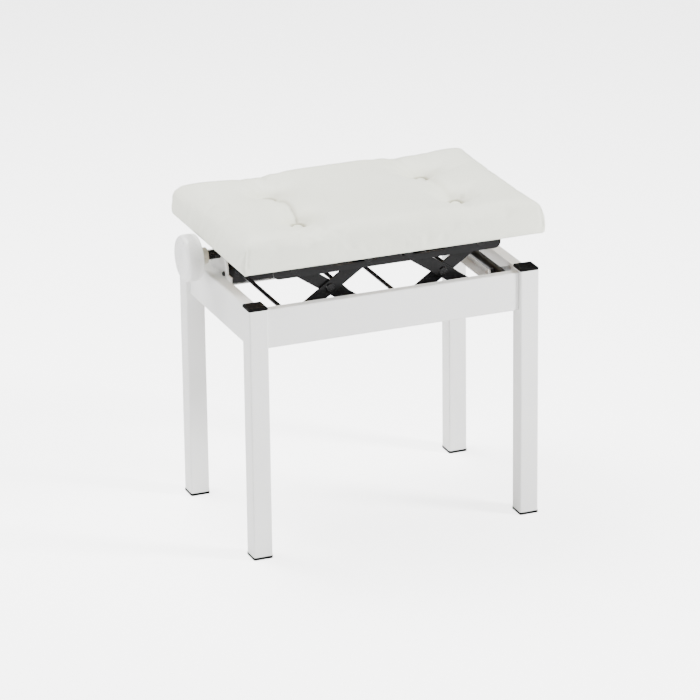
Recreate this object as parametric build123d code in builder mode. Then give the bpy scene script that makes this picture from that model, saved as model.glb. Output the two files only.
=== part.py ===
from build123d import *
import math
import os

# Height-adjustable piano bench. Millimetres, +X along the seat, +Y to the back, +Z up.
# The origin is on the floor, midway between the four legs. The seat stands at its rest height.

# ---- driving dimensions: the four-legged frame ----
FRAME_WIDTH = 466.0
FRAME_DEPTH = 303.0
LEG_SIZE = 30.0
LEG_WALL = 1.5
LEG_CORNER = 2.5
LEG_TOP = 400.0
CAP_THICK = 4.0
CAP_PROUD = 0.2
FOOT_PROUD = 0.7
PLUG_DEPTH = 14.0
PLUG_WALL = 2.5
PLUG_GAP = 0.2
PLUG_CORNER = 1.5
FOOT_CHAMFER = 0.8
CAP_CHAMFER = 1.3
CUT_CLEAR = 1.0

APRON_BOTTOM = 333.0
APRON_TOP = 393.5
APRON_SHEET = 1.5
APRON_BEND = 2.5
LONG_APRON_RECESS = 6.0
LONG_APRON_FLANGE = 13.0
SIDE_APRON_RECESS = 6.5
SIDE_APRON_FLANGE = 18.0
BOLT_HEAD_R = 5.2
BOLT_HEAD_HEIGHT = 4.0
BOLT_LENGTH = 14.0
BOLT_EDGE = 17.0
RIVET_NUT_R = 4.6
RIVET_NUT_LENGTH = 9.0

# ---- driving dimensions: the scissor lift ----
PIVOT_X = 150.0
SLIDE_X = 32.5
LOW_PIN_Z = 363.0
HIGH_PIN_Z = 443.0
PIN_R = 3.25
RUNNING_GAP = 0.05
ARM_WIDTH = 20.0
ARM_THICK = 3.0
ARM_A_DEPTH = 113.5
ARM_B_DEPTH = 109.5
SLOT_HALF = 4.3
SLOT_NEAR = 17.0
SLOT_FAR = 93.0
SLIDER_R = 4.2
SIDE_PLAY = 0.4
PIN_HEAD_R = 7.0
PIN_HEAD_THICK = 1.6
PIN_SHOULDER_R = 6.0
PIN_SHOULDER_GAP = 0.3
PIN_TAIL_R = 5.5
PIN_TAIL_THICK = 1.5
ARM_CHAMFER = 0.3
RIVET_HEAD_R = 7.3
RIVET_HEAD_THICK = 2.4
RIVET_HEAD_TAPER = 32.0
RIVET_TAIL_R = 6.5
RIVET_TAIL_THICK = 2.0
WASHER_R = 7.5
WASHER_GAP = 0.15

BASE_RAIL_DEPTH = 117.5
RAIL_SHEET = 2.0
BASE_RAIL_HALF = 216.0
BASE_RAIL_TOP = 385.0
BASE_RAIL_BOTTOM = 342.0
BASE_RAIL_DROP = 338.0
BASE_FLANGE_HALF = 198.0
BASE_FLANGE = 9.0
BASE_TUBE_X = 204.3
BASE_TUBE_Z = 369.5
BASE_TUBE_R = 7.0
BASE_TUBE_WALL = 1.5
STUD_Y = 61.0
STUD_R = 3.0
STUD_REACH = 7.0
SPACER_R = 4.5
TUBE_NUT_HEIGHT = 5.0
FIXED_HEAD_R = 6.0
FIXED_HEAD_THICK = 1.8
CLIP_THICK = 1.2
ROD_HEAD_R = 6.5
ROD_HEAD_THICK = 1.5

SEAT_RAIL_DEPTH = 120.0
SEAT_RAIL_HALF = 183.0
SEAT_RAIL_BOTTOM = 429.0
SEAT_RAIL_FLANGE = 15.0
SEAT_RAIL_CORNER = 10.0
RAIL_SCREW_LINE = 9.0
RAIL_HOLE_R = 2.6
RAIL_SCREW_R = 2.05
RAIL_SCREW_HEAD_R = 4.2
RAIL_SCREW_HEAD = 2.6
RAIL_SCREW_CHAMFER = 0.8
RAIL_SCREW_TIP_GAP = 1.5

# ---- driving dimensions: the padded seat ----
SEAT_LENGTH = 482.0
SEAT_DEPTH = 310.0
SEAT_UNDERSIDE = 455.0
SEAT_TOP = 507.0
SEAT_CORNER = 16.0
SEAT_EDGE = 14.0
SEAT_FOOT_EDGE = 3.0
BOARD_THICK = 12.0
BOARD_INSET = 9.0
BOARD_HOLE_R = 2.1
BOARD_GAP = 0.3
TUFT_SPOTS = ((-123.0, -69.0), (-121.0, 57.0), (134.0, -65.0), (129.0, 58.0))
BUTTON_R = 7.5
BUTTON_BASE = 482.0
BUTTON_TOP = 487.0
BUTTON_EDGE = 3.0
BUTTON_POCKET_R = 9.0
BUTTON_POCKET_GAP = 0.5

# ---- driving dimensions: the hand screw ----
SCREW_Y = 38.0
SCREW_Z = 423.5
SCREW_R = 5.0
SCREW_END = -4.0
SCREW_PLAY = 0.08
SCREW_CHAMFER = 1.0
KNOB_R = 36.0
KNOB_FACE = -269.0
KNOB_BACK = -244.0
KNOB_FACE_EDGE = 3.0
KNOB_BACK_EDGE = 2.5
KNOB_RING = 6.0
DISH_DEPTH = 3.0
DISH_FLAT_R = 12.0
DISH_MIDDLE = (2.2, 21.0)
KNOB_SOCKET = 18.0
SCREW_SEATING = 17.5
BUSH_R = 12.5
BUSH_INNER = -229.0
BUSH_GAP = 0.4
BUSH_CHAMFER = 0.8
SLEEVE_R = 7.0
SLEEVE_BORE = 5.3
BRACKET_X = -208.5
BRACKET_SHEET = 2.5
BRACKET_ARCH_R = 33.0
BRACKET_ARCH_Z = 404.0
BRACKET_FOOT_TOP = 400.0
BRACKET_FOOT_HALF = 48.0
BRACKET_LAP = 14.0
BRACKET_BOLT = (18.0, 398.0)
BRACKET_BOLT_R = 2.5
BRACKET_HOLE_R = 2.6
BRACKET_HEAD_R = 4.0
BRACKET_HEAD = 2.6
BRACKET_HEAD_TAPER = 20.0
CUT_BLOCK = 200.0
HOUSING_THICK = 10.0
HOUSING_WIDTH = 36.0
HOUSING_RISE = 22.0
HOUSING_DROP = 9.0
HOUSING_FOOT = (54.0, 18.0, 3.0)
HOUSING_TOP = 12.0
COLLAR_R = 9.0
THRUST_COLLAR = 7.0
END_COLLAR = 6.0
END_COLLAR_SETBACK = 8.0

# ---- driving dimensions: the drive between the hand screw and the scissors ----
NUT_SIZE = 15.0
NUT_FRONT = 27.0
NUT_CHAMFER = 1.0
TAP_HOLE_R = 1.6
TAP_DEPTH = 12.0
PLATE_FRONT = 74.0
PLATE_THICK = 4.0
PLATE_WIDTH = 18.0
PLATE_HOLE_R = 1.9
PLATE_SCREW_R = 1.5
PLATE_SCREW_HEAD_R = 3.0
PLATE_SCREW_HEAD = 3.0
PLATE_SCREW_LENGTH = 10.0
PLATE_SCREW_SPACING = 7.0

# ---- worked out from the driving dimensions ----
LEG_X = (FRAME_WIDTH - LEG_SIZE) / 2
LEG_Y = (FRAME_DEPTH - LEG_SIZE) / 2
LEG_INNER_X = LEG_X - LEG_SIZE / 2
LEG_INNER_Y = LEG_Y - LEG_SIZE / 2
PLUG_SIZE = LEG_SIZE - 2 * LEG_WALL - 2 * PLUG_GAP
PLUG_HOLLOW = PLUG_SIZE - 2 * PLUG_WALL
APRON_HEIGHT = APRON_TOP - APRON_BOTTOM
LONG_APRON_FACE = FRAME_DEPTH / 2 - LONG_APRON_RECESS
SIDE_APRON_FACE = FRAME_WIDTH / 2 - SIDE_APRON_RECESS
SIDE_WEB_INNER = SIDE_APRON_FACE - APRON_SHEET
ARM_RISE = HIGH_PIN_Z - LOW_PIN_Z
ARM_RUN = PIVOT_X - SLIDE_X
ARM_SPAN = math.hypot(ARM_RUN, ARM_RISE)
ARM_ANGLE = math.degrees(math.atan2(ARM_RISE, ARM_RUN))
CENTRE_X = (PIVOT_X + SLIDE_X) / 2
CENTRE_Z = (LOW_PIN_Z + HIGH_PIN_Z) / 2
BOLT_Z = (APRON_BOTTOM + BOLT_EDGE, APRON_TOP - BOLT_EDGE)
BOLT_Y = LONG_APRON_FACE - APRON_SHEET - (LONG_APRON_FLANGE - APRON_SHEET) / 2
BASE_RAIL_OUTER = BASE_RAIL_DEPTH + RAIL_SHEET
SEAT_RAIL_OUTER = SEAT_RAIL_DEPTH + RAIL_SHEET
SLOT_MIDDLE = (SLOT_NEAR + SLOT_FAR) / 2
HOUSING_X = BRACKET_X + BRACKET_SHEET
PLATE_SCREW_Z = (SCREW_Z - PLATE_SCREW_SPACING / 2, SCREW_Z + PLATE_SCREW_SPACING / 2)

SIDES = {"left": -1, "right": 1}
ENDS = {"front": -1, "rear": 1}
CORNERS = [(x, y) for x in (-1, 1) for y in (-1, 1)]


def outward_y(end, depth):
    """Upright plane at a distance in front of or behind the middle, facing away from it.

    Its local x is X times minus end, and its local y is Z.
    """
    return Plane(origin=(0, end * depth, 0), x_dir=(-end, 0, 0), z_dir=(0, end, 0))


def outward_x(side, distance):
    """Upright plane at a distance to the left or right of the middle, facing away from it.

    Its local x is Y times side, and its local y is Z.
    """
    return Plane(origin=(side * distance, 0, 0), x_dir=(0, side, 0), z_dir=(side, 0, 0))


def screw_section():
    """Plane through the hand screw's axis: local x is X, local y is the radius."""
    return Plane(origin=(0, SCREW_Y, SCREW_Z), x_dir=(1, 0, 0), z_dir=(0, -1, 0))


SCREW_AXIS = Axis((0, SCREW_Y, SCREW_Z), (1, 0, 0))
os.makedirs("parts", exist_ok=True)

# ---- legs: square tube, with two bolt holes through the wall that meets the long apron ----
for end_name, end in ENDS.items():
    for side_name, side in SIDES.items():
        with BuildPart() as leg:
            with BuildSketch(Plane.XY.offset(CAP_THICK)):
                with Locations((side * LEG_X, end * LEG_Y)):
                    RectangleRounded(LEG_SIZE, LEG_SIZE, LEG_CORNER)
                    inside = LEG_SIZE - 2 * LEG_WALL
                    RectangleRounded(inside, inside, LEG_CORNER - LEG_WALL, mode=Mode.SUBTRACT)
            extrude(amount=LEG_TOP - 2 * CAP_THICK)
            with BuildSketch(outward_x(side, LEG_INNER_X - CUT_CLEAR)):
                with Locations(*[(side * end * BOLT_Y, z) for z in BOLT_Z]):
                    Circle(PIN_R)
            extrude(amount=LEG_WALL + 2 * CUT_CLEAR, mode=Mode.SUBTRACT)
        leg.part.label = f"leg_{end_name}_{side_name}"
        export_step(leg.part, f"parts/{leg.part.label}.step")

# ---- feet: plastic pads under the legs, with a hollow plug that grips inside the tube ----
for end_name, end in ENDS.items():
    for side_name, side in SIDES.items():
        with BuildPart() as foot:
            pad = LEG_SIZE + 2 * FOOT_PROUD
            with BuildSketch():
                with Locations((side * LEG_X, end * LEG_Y)):
                    RectangleRounded(pad, pad, LEG_CORNER + FOOT_PROUD)
            extrude(amount=CAP_THICK)
            chamfer(foot.edges().group_by(Axis.Z)[0], FOOT_CHAMFER)
            with BuildSketch(Plane.XY.offset(CAP_THICK)):
                with Locations((side * LEG_X, end * LEG_Y)):
                    RectangleRounded(PLUG_SIZE, PLUG_SIZE, PLUG_CORNER)
                    Rectangle(PLUG_HOLLOW, PLUG_HOLLOW, mode=Mode.SUBTRACT)
            extrude(amount=PLUG_DEPTH)
        foot.part.label = f"foot_{end_name}_{side_name}"
        export_step(foot.part, f"parts/{foot.part.label}.step")

# ---- leg caps: four plastic caps that close the tops of the legs ----
with BuildPart() as leg_caps:
    cap = LEG_SIZE + 2 * CAP_PROUD
    with BuildSketch(Plane.XY.offset(LEG_TOP - CAP_THICK)):
        with Locations(*[(x * LEG_X, y * LEG_Y) for x, y in CORNERS]):
            RectangleRounded(cap, cap, LEG_CORNER + CAP_PROUD)
    extrude(amount=CAP_THICK)
    chamfer(leg_caps.edges().group_by(Axis.Z)[-1], CAP_CHAMFER)
    with BuildSketch(Plane.XY.offset(LEG_TOP - CAP_THICK - PLUG_DEPTH)):
        with Locations(*[(x * LEG_X, y * LEG_Y) for x, y in CORNERS]):
            RectangleRounded(PLUG_SIZE, PLUG_SIZE, PLUG_CORNER)
            Rectangle(PLUG_HOLLOW, PLUG_HOLLOW, mode=Mode.SUBTRACT)
    extrude(amount=PLUG_DEPTH)
leg_caps.part.label = "leg_caps"
export_step(leg_caps.part, "parts/leg_caps.step")

# ---- long aprons: pressed trays, open to the inside, bolted to the legs through their end tabs ----
for end_name, end in ENDS.items():
    with BuildPart() as long_apron:
        with BuildSketch(outward_y(end, LONG_APRON_FACE - LONG_APRON_FLANGE)):
            with Locations((0, APRON_BOTTOM + APRON_HEIGHT / 2)):
                Rectangle(2 * LEG_INNER_X, APRON_HEIGHT)
        extrude(amount=LONG_APRON_FLANGE)
        face_edges = long_apron.edges().group_by(Axis.Y)[0 if end < 0 else -1]
        fillet(face_edges, APRON_BEND)
        with BuildSketch(outward_y(end, LONG_APRON_FACE - LONG_APRON_FLANGE - CUT_CLEAR)):
            with Locations((0, APRON_BOTTOM + APRON_HEIGHT / 2)):
                Rectangle(2 * LEG_INNER_X - 2 * APRON_SHEET, APRON_HEIGHT - 2 * APRON_SHEET)
        extrude(amount=LONG_APRON_FLANGE + CUT_CLEAR - APRON_SHEET, mode=Mode.SUBTRACT)
        for side in SIDES.values():
            with BuildSketch(outward_x(side, LEG_INNER_X - APRON_SHEET - CUT_CLEAR)):
                with Locations(*[(side * end * BOLT_Y, z) for z in BOLT_Z]):
                    Circle(PIN_R)
            extrude(amount=APRON_SHEET + CUT_CLEAR, mode=Mode.SUBTRACT)
    long_apron.part.label = f"{end_name}_apron"
    export_step(long_apron.part, f"parts/{long_apron.part.label}.step")

# ---- apron bolts: hexagon heads inside the tray, shanks through tab and leg wall ----
with BuildPart() as apron_bolts:
    for side in SIDES.values():
        bolt_spots = [(side * y * BOLT_Y, z) for y in ENDS.values() for z in BOLT_Z]
        with BuildSketch(outward_x(side, LEG_INNER_X - APRON_SHEET - BOLT_HEAD_HEIGHT)):
            with Locations(*bolt_spots):
                RegularPolygon(BOLT_HEAD_R, 6)
        extrude(amount=BOLT_HEAD_HEIGHT)
        with BuildSketch(outward_x(side, LEG_INNER_X - APRON_SHEET)):
            with Locations(*bolt_spots):
                Circle(STUD_R)
        extrude(amount=BOLT_LENGTH)
apron_bolts.part.label = "apron_bolts"
export_step(apron_bolts.part, "parts/apron_bolts.step")

# ---- rivet nuts: threaded sleeves set behind the leg walls, one for each apron bolt ----
with BuildPart() as rivet_nuts:
    for side in SIDES.values():
        with BuildSketch(outward_x(side, LEG_INNER_X + LEG_WALL)):
            with Locations(*[(side * y * BOLT_Y, z) for y in ENDS.values() for z in BOLT_Z]):
                Circle(RIVET_NUT_R)
                Circle(STUD_R + RUNNING_GAP, mode=Mode.SUBTRACT)
        extrude(amount=RIVET_NUT_LENGTH)
rivet_nuts.part.label = "rivet_nuts"
export_step(rivet_nuts.part, "parts/rivet_nuts.step")

# ---- side aprons: channels welded between the legs, each with two weld studs for the base tube ----
for side_name, side in SIDES.items():
    with BuildPart() as side_apron:
        with BuildSketch(outward_x(side, SIDE_APRON_FACE - SIDE_APRON_FLANGE)):
            with Locations((0, APRON_BOTTOM + APRON_HEIGHT / 2)):
                Rectangle(2 * LEG_INNER_Y, APRON_HEIGHT)
        extrude(amount=SIDE_APRON_FLANGE)
        face_edges = side_apron.edges().group_by(Axis.X)[0 if side < 0 else -1]
        fillet(face_edges.filter_by(Axis.Y), APRON_BEND)
        with BuildSketch(outward_x(side, SIDE_APRON_FACE - SIDE_APRON_FLANGE - CUT_CLEAR)):
            with Locations((0, APRON_BOTTOM + APRON_HEIGHT / 2)):
                Rectangle(2 * LEG_INNER_Y + 2 * CUT_CLEAR, APRON_HEIGHT - 2 * APRON_SHEET)
        extrude(amount=SIDE_APRON_FLANGE + CUT_CLEAR - APRON_SHEET, mode=Mode.SUBTRACT)
        with BuildSketch(outward_x(side, BASE_TUBE_X - BASE_TUBE_R - STUD_REACH)):
            with Locations(*[(y * STUD_Y, BASE_TUBE_Z) for y in ENDS.values()]):
                Circle(STUD_R)
        extrude(until=Until.NEXT)
    side_apron.part.label = f"{side_name}_apron"
    export_step(side_apron.part, f"parts/{side_apron.part.label}.step")

# ---- base tubes: round cross tubes of the lift, drilled for the weld studs ----
for side_name, side in SIDES.items():
    with BuildPart() as base_tube:
        with BuildSketch(Plane.XZ.offset(-BASE_RAIL_DEPTH)):
            with Locations((side * BASE_TUBE_X, BASE_TUBE_Z)):
                Circle(BASE_TUBE_R)
                Circle(BASE_TUBE_R - BASE_TUBE_WALL, mode=Mode.SUBTRACT)
        extrude(amount=2 * BASE_RAIL_DEPTH)
        with BuildSketch(outward_x(side, BASE_TUBE_X - BASE_TUBE_R - CUT_CLEAR)):
            with Locations(*[(y * STUD_Y, BASE_TUBE_Z) for y in ENDS.values()]):
                Circle(PIN_R)
        extrude(amount=2 * BASE_TUBE_R + 2 * CUT_CLEAR, mode=Mode.SUBTRACT)
    base_tube.part.label = f"{side_name}_base_tube"
    export_step(base_tube.part, f"parts/{base_tube.part.label}.step")

# ---- tube spacers and nuts: they clamp the base tubes to the side aprons ----
with BuildPart() as tube_spacers:
    for side in SIDES.values():
        with BuildSketch(outward_x(side, BASE_TUBE_X + BASE_TUBE_R + RUNNING_GAP)):
            with Locations(*[(y * STUD_Y, BASE_TUBE_Z) for y in ENDS.values()]):
                Circle(SPACER_R)
                Circle(PIN_R, mode=Mode.SUBTRACT)
        extrude(amount=SIDE_WEB_INNER - BASE_TUBE_X - BASE_TUBE_R - RUNNING_GAP)
tube_spacers.part.label = "tube_spacers"
export_step(tube_spacers.part, "parts/tube_spacers.step")

with BuildPart() as tube_nuts:
    for side in SIDES.values():
        with BuildSketch(outward_x(side, BASE_TUBE_X - BASE_TUBE_R - TUBE_NUT_HEIGHT)):
            with Locations(*[(y * STUD_Y, BASE_TUBE_Z) for y in ENDS.values()]):
                RegularPolygon(BOLT_HEAD_R, 6)
                Circle(STUD_R + RUNNING_GAP, mode=Mode.SUBTRACT)
        extrude(amount=TUBE_NUT_HEIGHT)
tube_nuts.part.label = "tube_nuts"
export_step(tube_nuts.part, "parts/tube_nuts.step")

# ---- base rails: angle rails that carry the fixed rods and guide the sliding ones in slots ----
for end_name, end in ENDS.items():
    with BuildPart() as base_rail:
        with BuildSketch(outward_y(end, BASE_RAIL_DEPTH)):
            with BuildLine():
                step = BASE_RAIL_BOTTOM - BASE_RAIL_DROP
                Polyline(
                    (-BASE_RAIL_HALF, BASE_RAIL_TOP),
                    (BASE_RAIL_HALF, BASE_RAIL_TOP),
                    (BASE_RAIL_HALF, BASE_RAIL_BOTTOM),
                    (CENTRE_X - step, BASE_RAIL_BOTTOM),
                    (CENTRE_X - 2 * step, BASE_RAIL_DROP),
                    (-CENTRE_X + 2 * step, BASE_RAIL_DROP),
                    (-CENTRE_X + step, BASE_RAIL_BOTTOM),
                    (-BASE_RAIL_HALF, BASE_RAIL_BOTTOM),
                    close=True,
                )
            make_face()
            with Locations((-PIVOT_X, LOW_PIN_Z), (PIVOT_X, LOW_PIN_Z)):
                Circle(PIN_R + RUNNING_GAP, mode=Mode.SUBTRACT)
            with Locations((-SLOT_MIDDLE, LOW_PIN_Z), (SLOT_MIDDLE, LOW_PIN_Z)):
                SlotOverall(SLOT_FAR - SLOT_NEAR, 2 * SLOT_HALF, mode=Mode.SUBTRACT)
        extrude(amount=RAIL_SHEET)
        with BuildSketch(Plane.XY.offset(BASE_RAIL_TOP - RAIL_SHEET)):
            with Locations((0, end * (BASE_RAIL_DEPTH + BASE_FLANGE / 2))):
                Rectangle(2 * BASE_FLANGE_HALF, BASE_FLANGE)
        extrude(amount=RAIL_SHEET)
    base_rail.part.label = f"{end_name}_base_rail"
    export_step(base_rail.part, f"parts/{base_rail.part.label}.step")

# ---- fixed rods: the outer lower pivots, with a head outside each base rail ----
for side_name, side in SIDES.items():
    with BuildPart() as fixed_rod:
        with BuildSketch(Plane.XZ.offset(-BASE_RAIL_OUTER)):
            with Locations((side * PIVOT_X, LOW_PIN_Z)):
                Circle(PIN_R)
        extrude(amount=2 * BASE_RAIL_OUTER)
        for end in ENDS.values():
            with BuildSketch(outward_y(end, BASE_RAIL_OUTER)):
                with Locations((-end * side * PIVOT_X, LOW_PIN_Z)):
                    Circle(FIXED_HEAD_R)
            extrude(amount=FIXED_HEAD_THICK)
    fixed_rod.part.label = f"{side_name}_fixed_rod"
    export_step(fixed_rod.part, f"parts/{fixed_rod.part.label}.step")

# ---- rod clips: retaining rings that keep the lower arm ends on the fixed rods ----
with BuildPart() as rod_clips:
    for end in ENDS.values():
        with BuildSketch(outward_y(end, ARM_A_DEPTH - SIDE_PLAY - CLIP_THICK)):
            with Locations((-PIVOT_X, LOW_PIN_Z), (PIVOT_X, LOW_PIN_Z)):
                Circle(FIXED_HEAD_R)
                Circle(PIN_R + RUNNING_GAP, mode=Mode.SUBTRACT)
        extrude(amount=CLIP_THICK)
rod_clips.part.label = "rod_clips"
export_step(rod_clips.part, "parts/rod_clips.step")

# ---- scissor arms: flat bars with round ends, two crossing pairs at each end of the bench ----
for end_name, end in ENDS.items():
    for side_name, side in SIDES.items():
        for arm_name, depth, slope in (("outer", ARM_A_DEPTH, 1), ("inner", ARM_B_DEPTH, -1)):
            low_x = PIVOT_X if slope > 0 else SLIDE_X
            high_x = SLIDE_X if slope > 0 else PIVOT_X
            with BuildPart() as arm:
                with BuildSketch(outward_y(end, depth)):
                    with Locations((-end * side * CENTRE_X, CENTRE_Z)):
                        SlotCenterToCenter(ARM_SPAN, ARM_WIDTH, rotation=slope * side * end * ARM_ANGLE)
                        Circle(PIN_R + RUNNING_GAP, mode=Mode.SUBTRACT)
                    with Locations((-end * side * low_x, LOW_PIN_Z), (-end * side * high_x, HIGH_PIN_Z)):
                        Circle(PIN_R + RUNNING_GAP, mode=Mode.SUBTRACT)
                extrude(amount=ARM_THICK)
                chamfer(arm.faces().sort_by(Axis.Y)[0].outer_wire().edges(), ARM_CHAMFER)
                chamfer(arm.faces().sort_by(Axis.Y)[-1].outer_wire().edges(), ARM_CHAMFER)
            arm.part.label = f"{end_name}_{side_name}_{arm_name}_arm"
            export_step(arm.part, f"parts/{arm.part.label}.step")

# ---- centre rivets: they join each crossing pair, with a domed head on the outside ----
for side_name, side in SIDES.items():
    with BuildPart() as centre_rivets:
        for end in ENDS.values():
            spot = (-end * side * CENTRE_X, CENTRE_Z)
            with BuildSketch(outward_y(end, ARM_B_DEPTH - PIN_SHOULDER_GAP)):
                with Locations(spot):
                    Circle(PIN_R)
            extrude(amount=ARM_A_DEPTH + ARM_THICK - ARM_B_DEPTH + PIN_SHOULDER_GAP)
            with BuildSketch(outward_y(end, ARM_A_DEPTH + ARM_THICK)):
                with Locations(spot):
                    Circle(RIVET_HEAD_R)
            extrude(amount=RIVET_HEAD_THICK, taper=RIVET_HEAD_TAPER)
            with BuildSketch(outward_y(end, ARM_B_DEPTH - PIN_SHOULDER_GAP - RIVET_TAIL_THICK)):
                with Locations(spot):
                    Circle(RIVET_TAIL_R)
            extrude(amount=RIVET_TAIL_THICK)
            with BuildSketch(outward_y(end, ARM_B_DEPTH + ARM_THICK + WASHER_GAP)):
                with Locations(spot):
                    Circle(WASHER_R)
            extrude(amount=ARM_A_DEPTH - ARM_B_DEPTH - ARM_THICK - WASHER_GAP)
    centre_rivets.part.label = f"{side_name}_centre_rivets"
    export_step(centre_rivets.part, f"parts/{centre_rivets.part.label}.step")

# ---- slide pins: shouldered pins at the upper inner arm ends, running in the seat rail slots ----
for side_name, side in SIDES.items():
    with BuildPart() as slide_pins:
        for end in ENDS.values():
            spot = (-end * side * SLIDE_X, HIGH_PIN_Z)
            inner_shoulder = SEAT_RAIL_DEPTH - SIDE_PLAY
            outer_shoulder = SEAT_RAIL_OUTER + SIDE_PLAY
            stages = (
                (ARM_A_DEPTH - PIN_TAIL_THICK, ARM_A_DEPTH, PIN_TAIL_R),
                (ARM_A_DEPTH, ARM_A_DEPTH + ARM_THICK, PIN_R),
                (ARM_A_DEPTH + ARM_THICK, inner_shoulder, PIN_SHOULDER_R),
                (inner_shoulder, outer_shoulder, SLIDER_R),
                (outer_shoulder, outer_shoulder + PIN_HEAD_THICK, PIN_HEAD_R),
            )
            for start, stop, radius in stages:
                with BuildSketch(outward_y(end, start)):
                    with Locations(spot):
                        Circle(radius)
                extrude(amount=stop - start)
    slide_pins.part.label = f"{side_name}_slide_pins"
    export_step(slide_pins.part, f"parts/{slide_pins.part.label}.step")

# ---- sliding rods: they tie the lower inner arm ends together, front to back ----
for side_name, side in SIDES.items():
    with BuildPart() as sliding_rod:
        rod_half = BASE_RAIL_OUTER + SIDE_PLAY
        with BuildSketch(Plane.XZ.offset(-rod_half)):
            with Locations((side * SLIDE_X, LOW_PIN_Z)):
                Circle(PIN_R)
        extrude(amount=2 * rod_half)
        for end in ENDS.values():
            with BuildSketch(outward_y(end, rod_half)):
                with Locations((-end * side * SLIDE_X, LOW_PIN_Z)):
                    Circle(ROD_HEAD_R)
            extrude(amount=ROD_HEAD_THICK)
    sliding_rod.part.label = f"{side_name}_sliding_rod"
    export_step(sliding_rod.part, f"parts/{sliding_rod.part.label}.step")

# ---- slider bushes: plastic rollers on the sliding rods, running in the base rail slots ----
for side_name, side in SIDES.items():
    with BuildPart() as slider_bushes:
        for end in ENDS.values():
            with BuildSketch(outward_y(end, ARM_B_DEPTH + ARM_THICK)):
                with Locations((-end * side * SLIDE_X, LOW_PIN_Z)):
                    Circle(SLIDER_R)
                    Circle(PIN_R + RUNNING_GAP, mode=Mode.SUBTRACT)
            extrude(amount=BASE_RAIL_OUTER + SIDE_PLAY - ARM_B_DEPTH - ARM_THICK)
    slider_bushes.part.label = f"{side_name}_slider_bushes"
    export_step(slider_bushes.part, f"parts/{slider_bushes.part.label}.step")

# ---- seat rails: angle rails screwed under the seat board, slotted for the slide pins ----
for end_name, end in ENDS.items():
    with BuildPart() as seat_rail:
        rail_height = SEAT_UNDERSIDE - SEAT_RAIL_BOTTOM
        with BuildSketch(outward_y(end, SEAT_RAIL_DEPTH)) as rail_web:
            with Locations((0, SEAT_RAIL_BOTTOM + rail_height / 2)):
                Rectangle(2 * SEAT_RAIL_HALF, rail_height)
            fillet(rail_web.vertices().group_by(Axis.Y)[0], SEAT_RAIL_CORNER)
            with Locations((-PIVOT_X, HIGH_PIN_Z), (PIVOT_X, HIGH_PIN_Z)):
                Circle(PIN_R + RUNNING_GAP, mode=Mode.SUBTRACT)
            with Locations((-SLOT_MIDDLE, HIGH_PIN_Z), (SLOT_MIDDLE, HIGH_PIN_Z)):
                SlotOverall(SLOT_FAR - SLOT_NEAR, 2 * SLOT_HALF, mode=Mode.SUBTRACT)
        extrude(amount=RAIL_SHEET)
        with BuildSketch(Plane.XY.offset(SEAT_UNDERSIDE - RAIL_SHEET)):
            with Locations((0, end * (SEAT_RAIL_DEPTH + SEAT_RAIL_FLANGE / 2))):
                Rectangle(2 * SEAT_RAIL_HALF, SEAT_RAIL_FLANGE)
            screw_line = end * (SEAT_RAIL_DEPTH + RAIL_SCREW_LINE)
            with Locations(*[(x, screw_line) for x in (-PIVOT_X, 0, PIVOT_X)]):
                Circle(RAIL_HOLE_R, mode=Mode.SUBTRACT)
        extrude(amount=RAIL_SHEET)
    seat_rail.part.label = f"{end_name}_seat_rail"
    export_step(seat_rail.part, f"parts/{seat_rail.part.label}.step")

# ---- outer pins: shouldered pivots between the seat rails and the upper outer arm ends ----
with BuildPart() as outer_pins:
    for end in ENDS.values():
        tail_face = ARM_B_DEPTH - SIDE_PLAY
        shoulder_face = ARM_B_DEPTH + ARM_THICK + PIN_SHOULDER_GAP
        stages = (
            (tail_face - PIN_TAIL_THICK, tail_face, PIN_TAIL_R),
            (tail_face, shoulder_face, PIN_R),
            (shoulder_face, SEAT_RAIL_DEPTH, PIN_SHOULDER_R),
            (SEAT_RAIL_DEPTH, SEAT_RAIL_OUTER, PIN_R),
            (SEAT_RAIL_OUTER, SEAT_RAIL_OUTER + PIN_HEAD_THICK, PIN_HEAD_R),
        )
        for start, stop, radius in stages:
            with BuildSketch(outward_y(end, start)):
                with Locations((-PIVOT_X, HIGH_PIN_Z), (PIVOT_X, HIGH_PIN_Z)):
                    Circle(radius)
            extrude(amount=stop - start)
outer_pins.part.label = "outer_pins"
export_step(outer_pins.part, "parts/outer_pins.step")

# ---- seat board: plywood panel inside the upholstery, drilled for screws and tuft twines ----
screw_lines = (-SEAT_RAIL_DEPTH - RAIL_SCREW_LINE, SEAT_RAIL_DEPTH + RAIL_SCREW_LINE)
board_screw_spots = [(x, y) for x in (-PIVOT_X, 0, PIVOT_X) for y in screw_lines]
with BuildPart() as seat_board:
    with BuildSketch(Plane.XY.offset(SEAT_UNDERSIDE)):
        board_length = SEAT_LENGTH - 2 * BOARD_INSET
        board_depth = SEAT_DEPTH - 2 * BOARD_INSET
        RectangleRounded(board_length, board_depth, SEAT_CORNER - BOARD_INSET)
        with Locations(*board_screw_spots):
            Circle(BOARD_HOLE_R, mode=Mode.SUBTRACT)
    extrude(amount=BOARD_THICK)
seat_board.part.label = "seat_board"
export_step(seat_board.part, "parts/seat_board.step")

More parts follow.
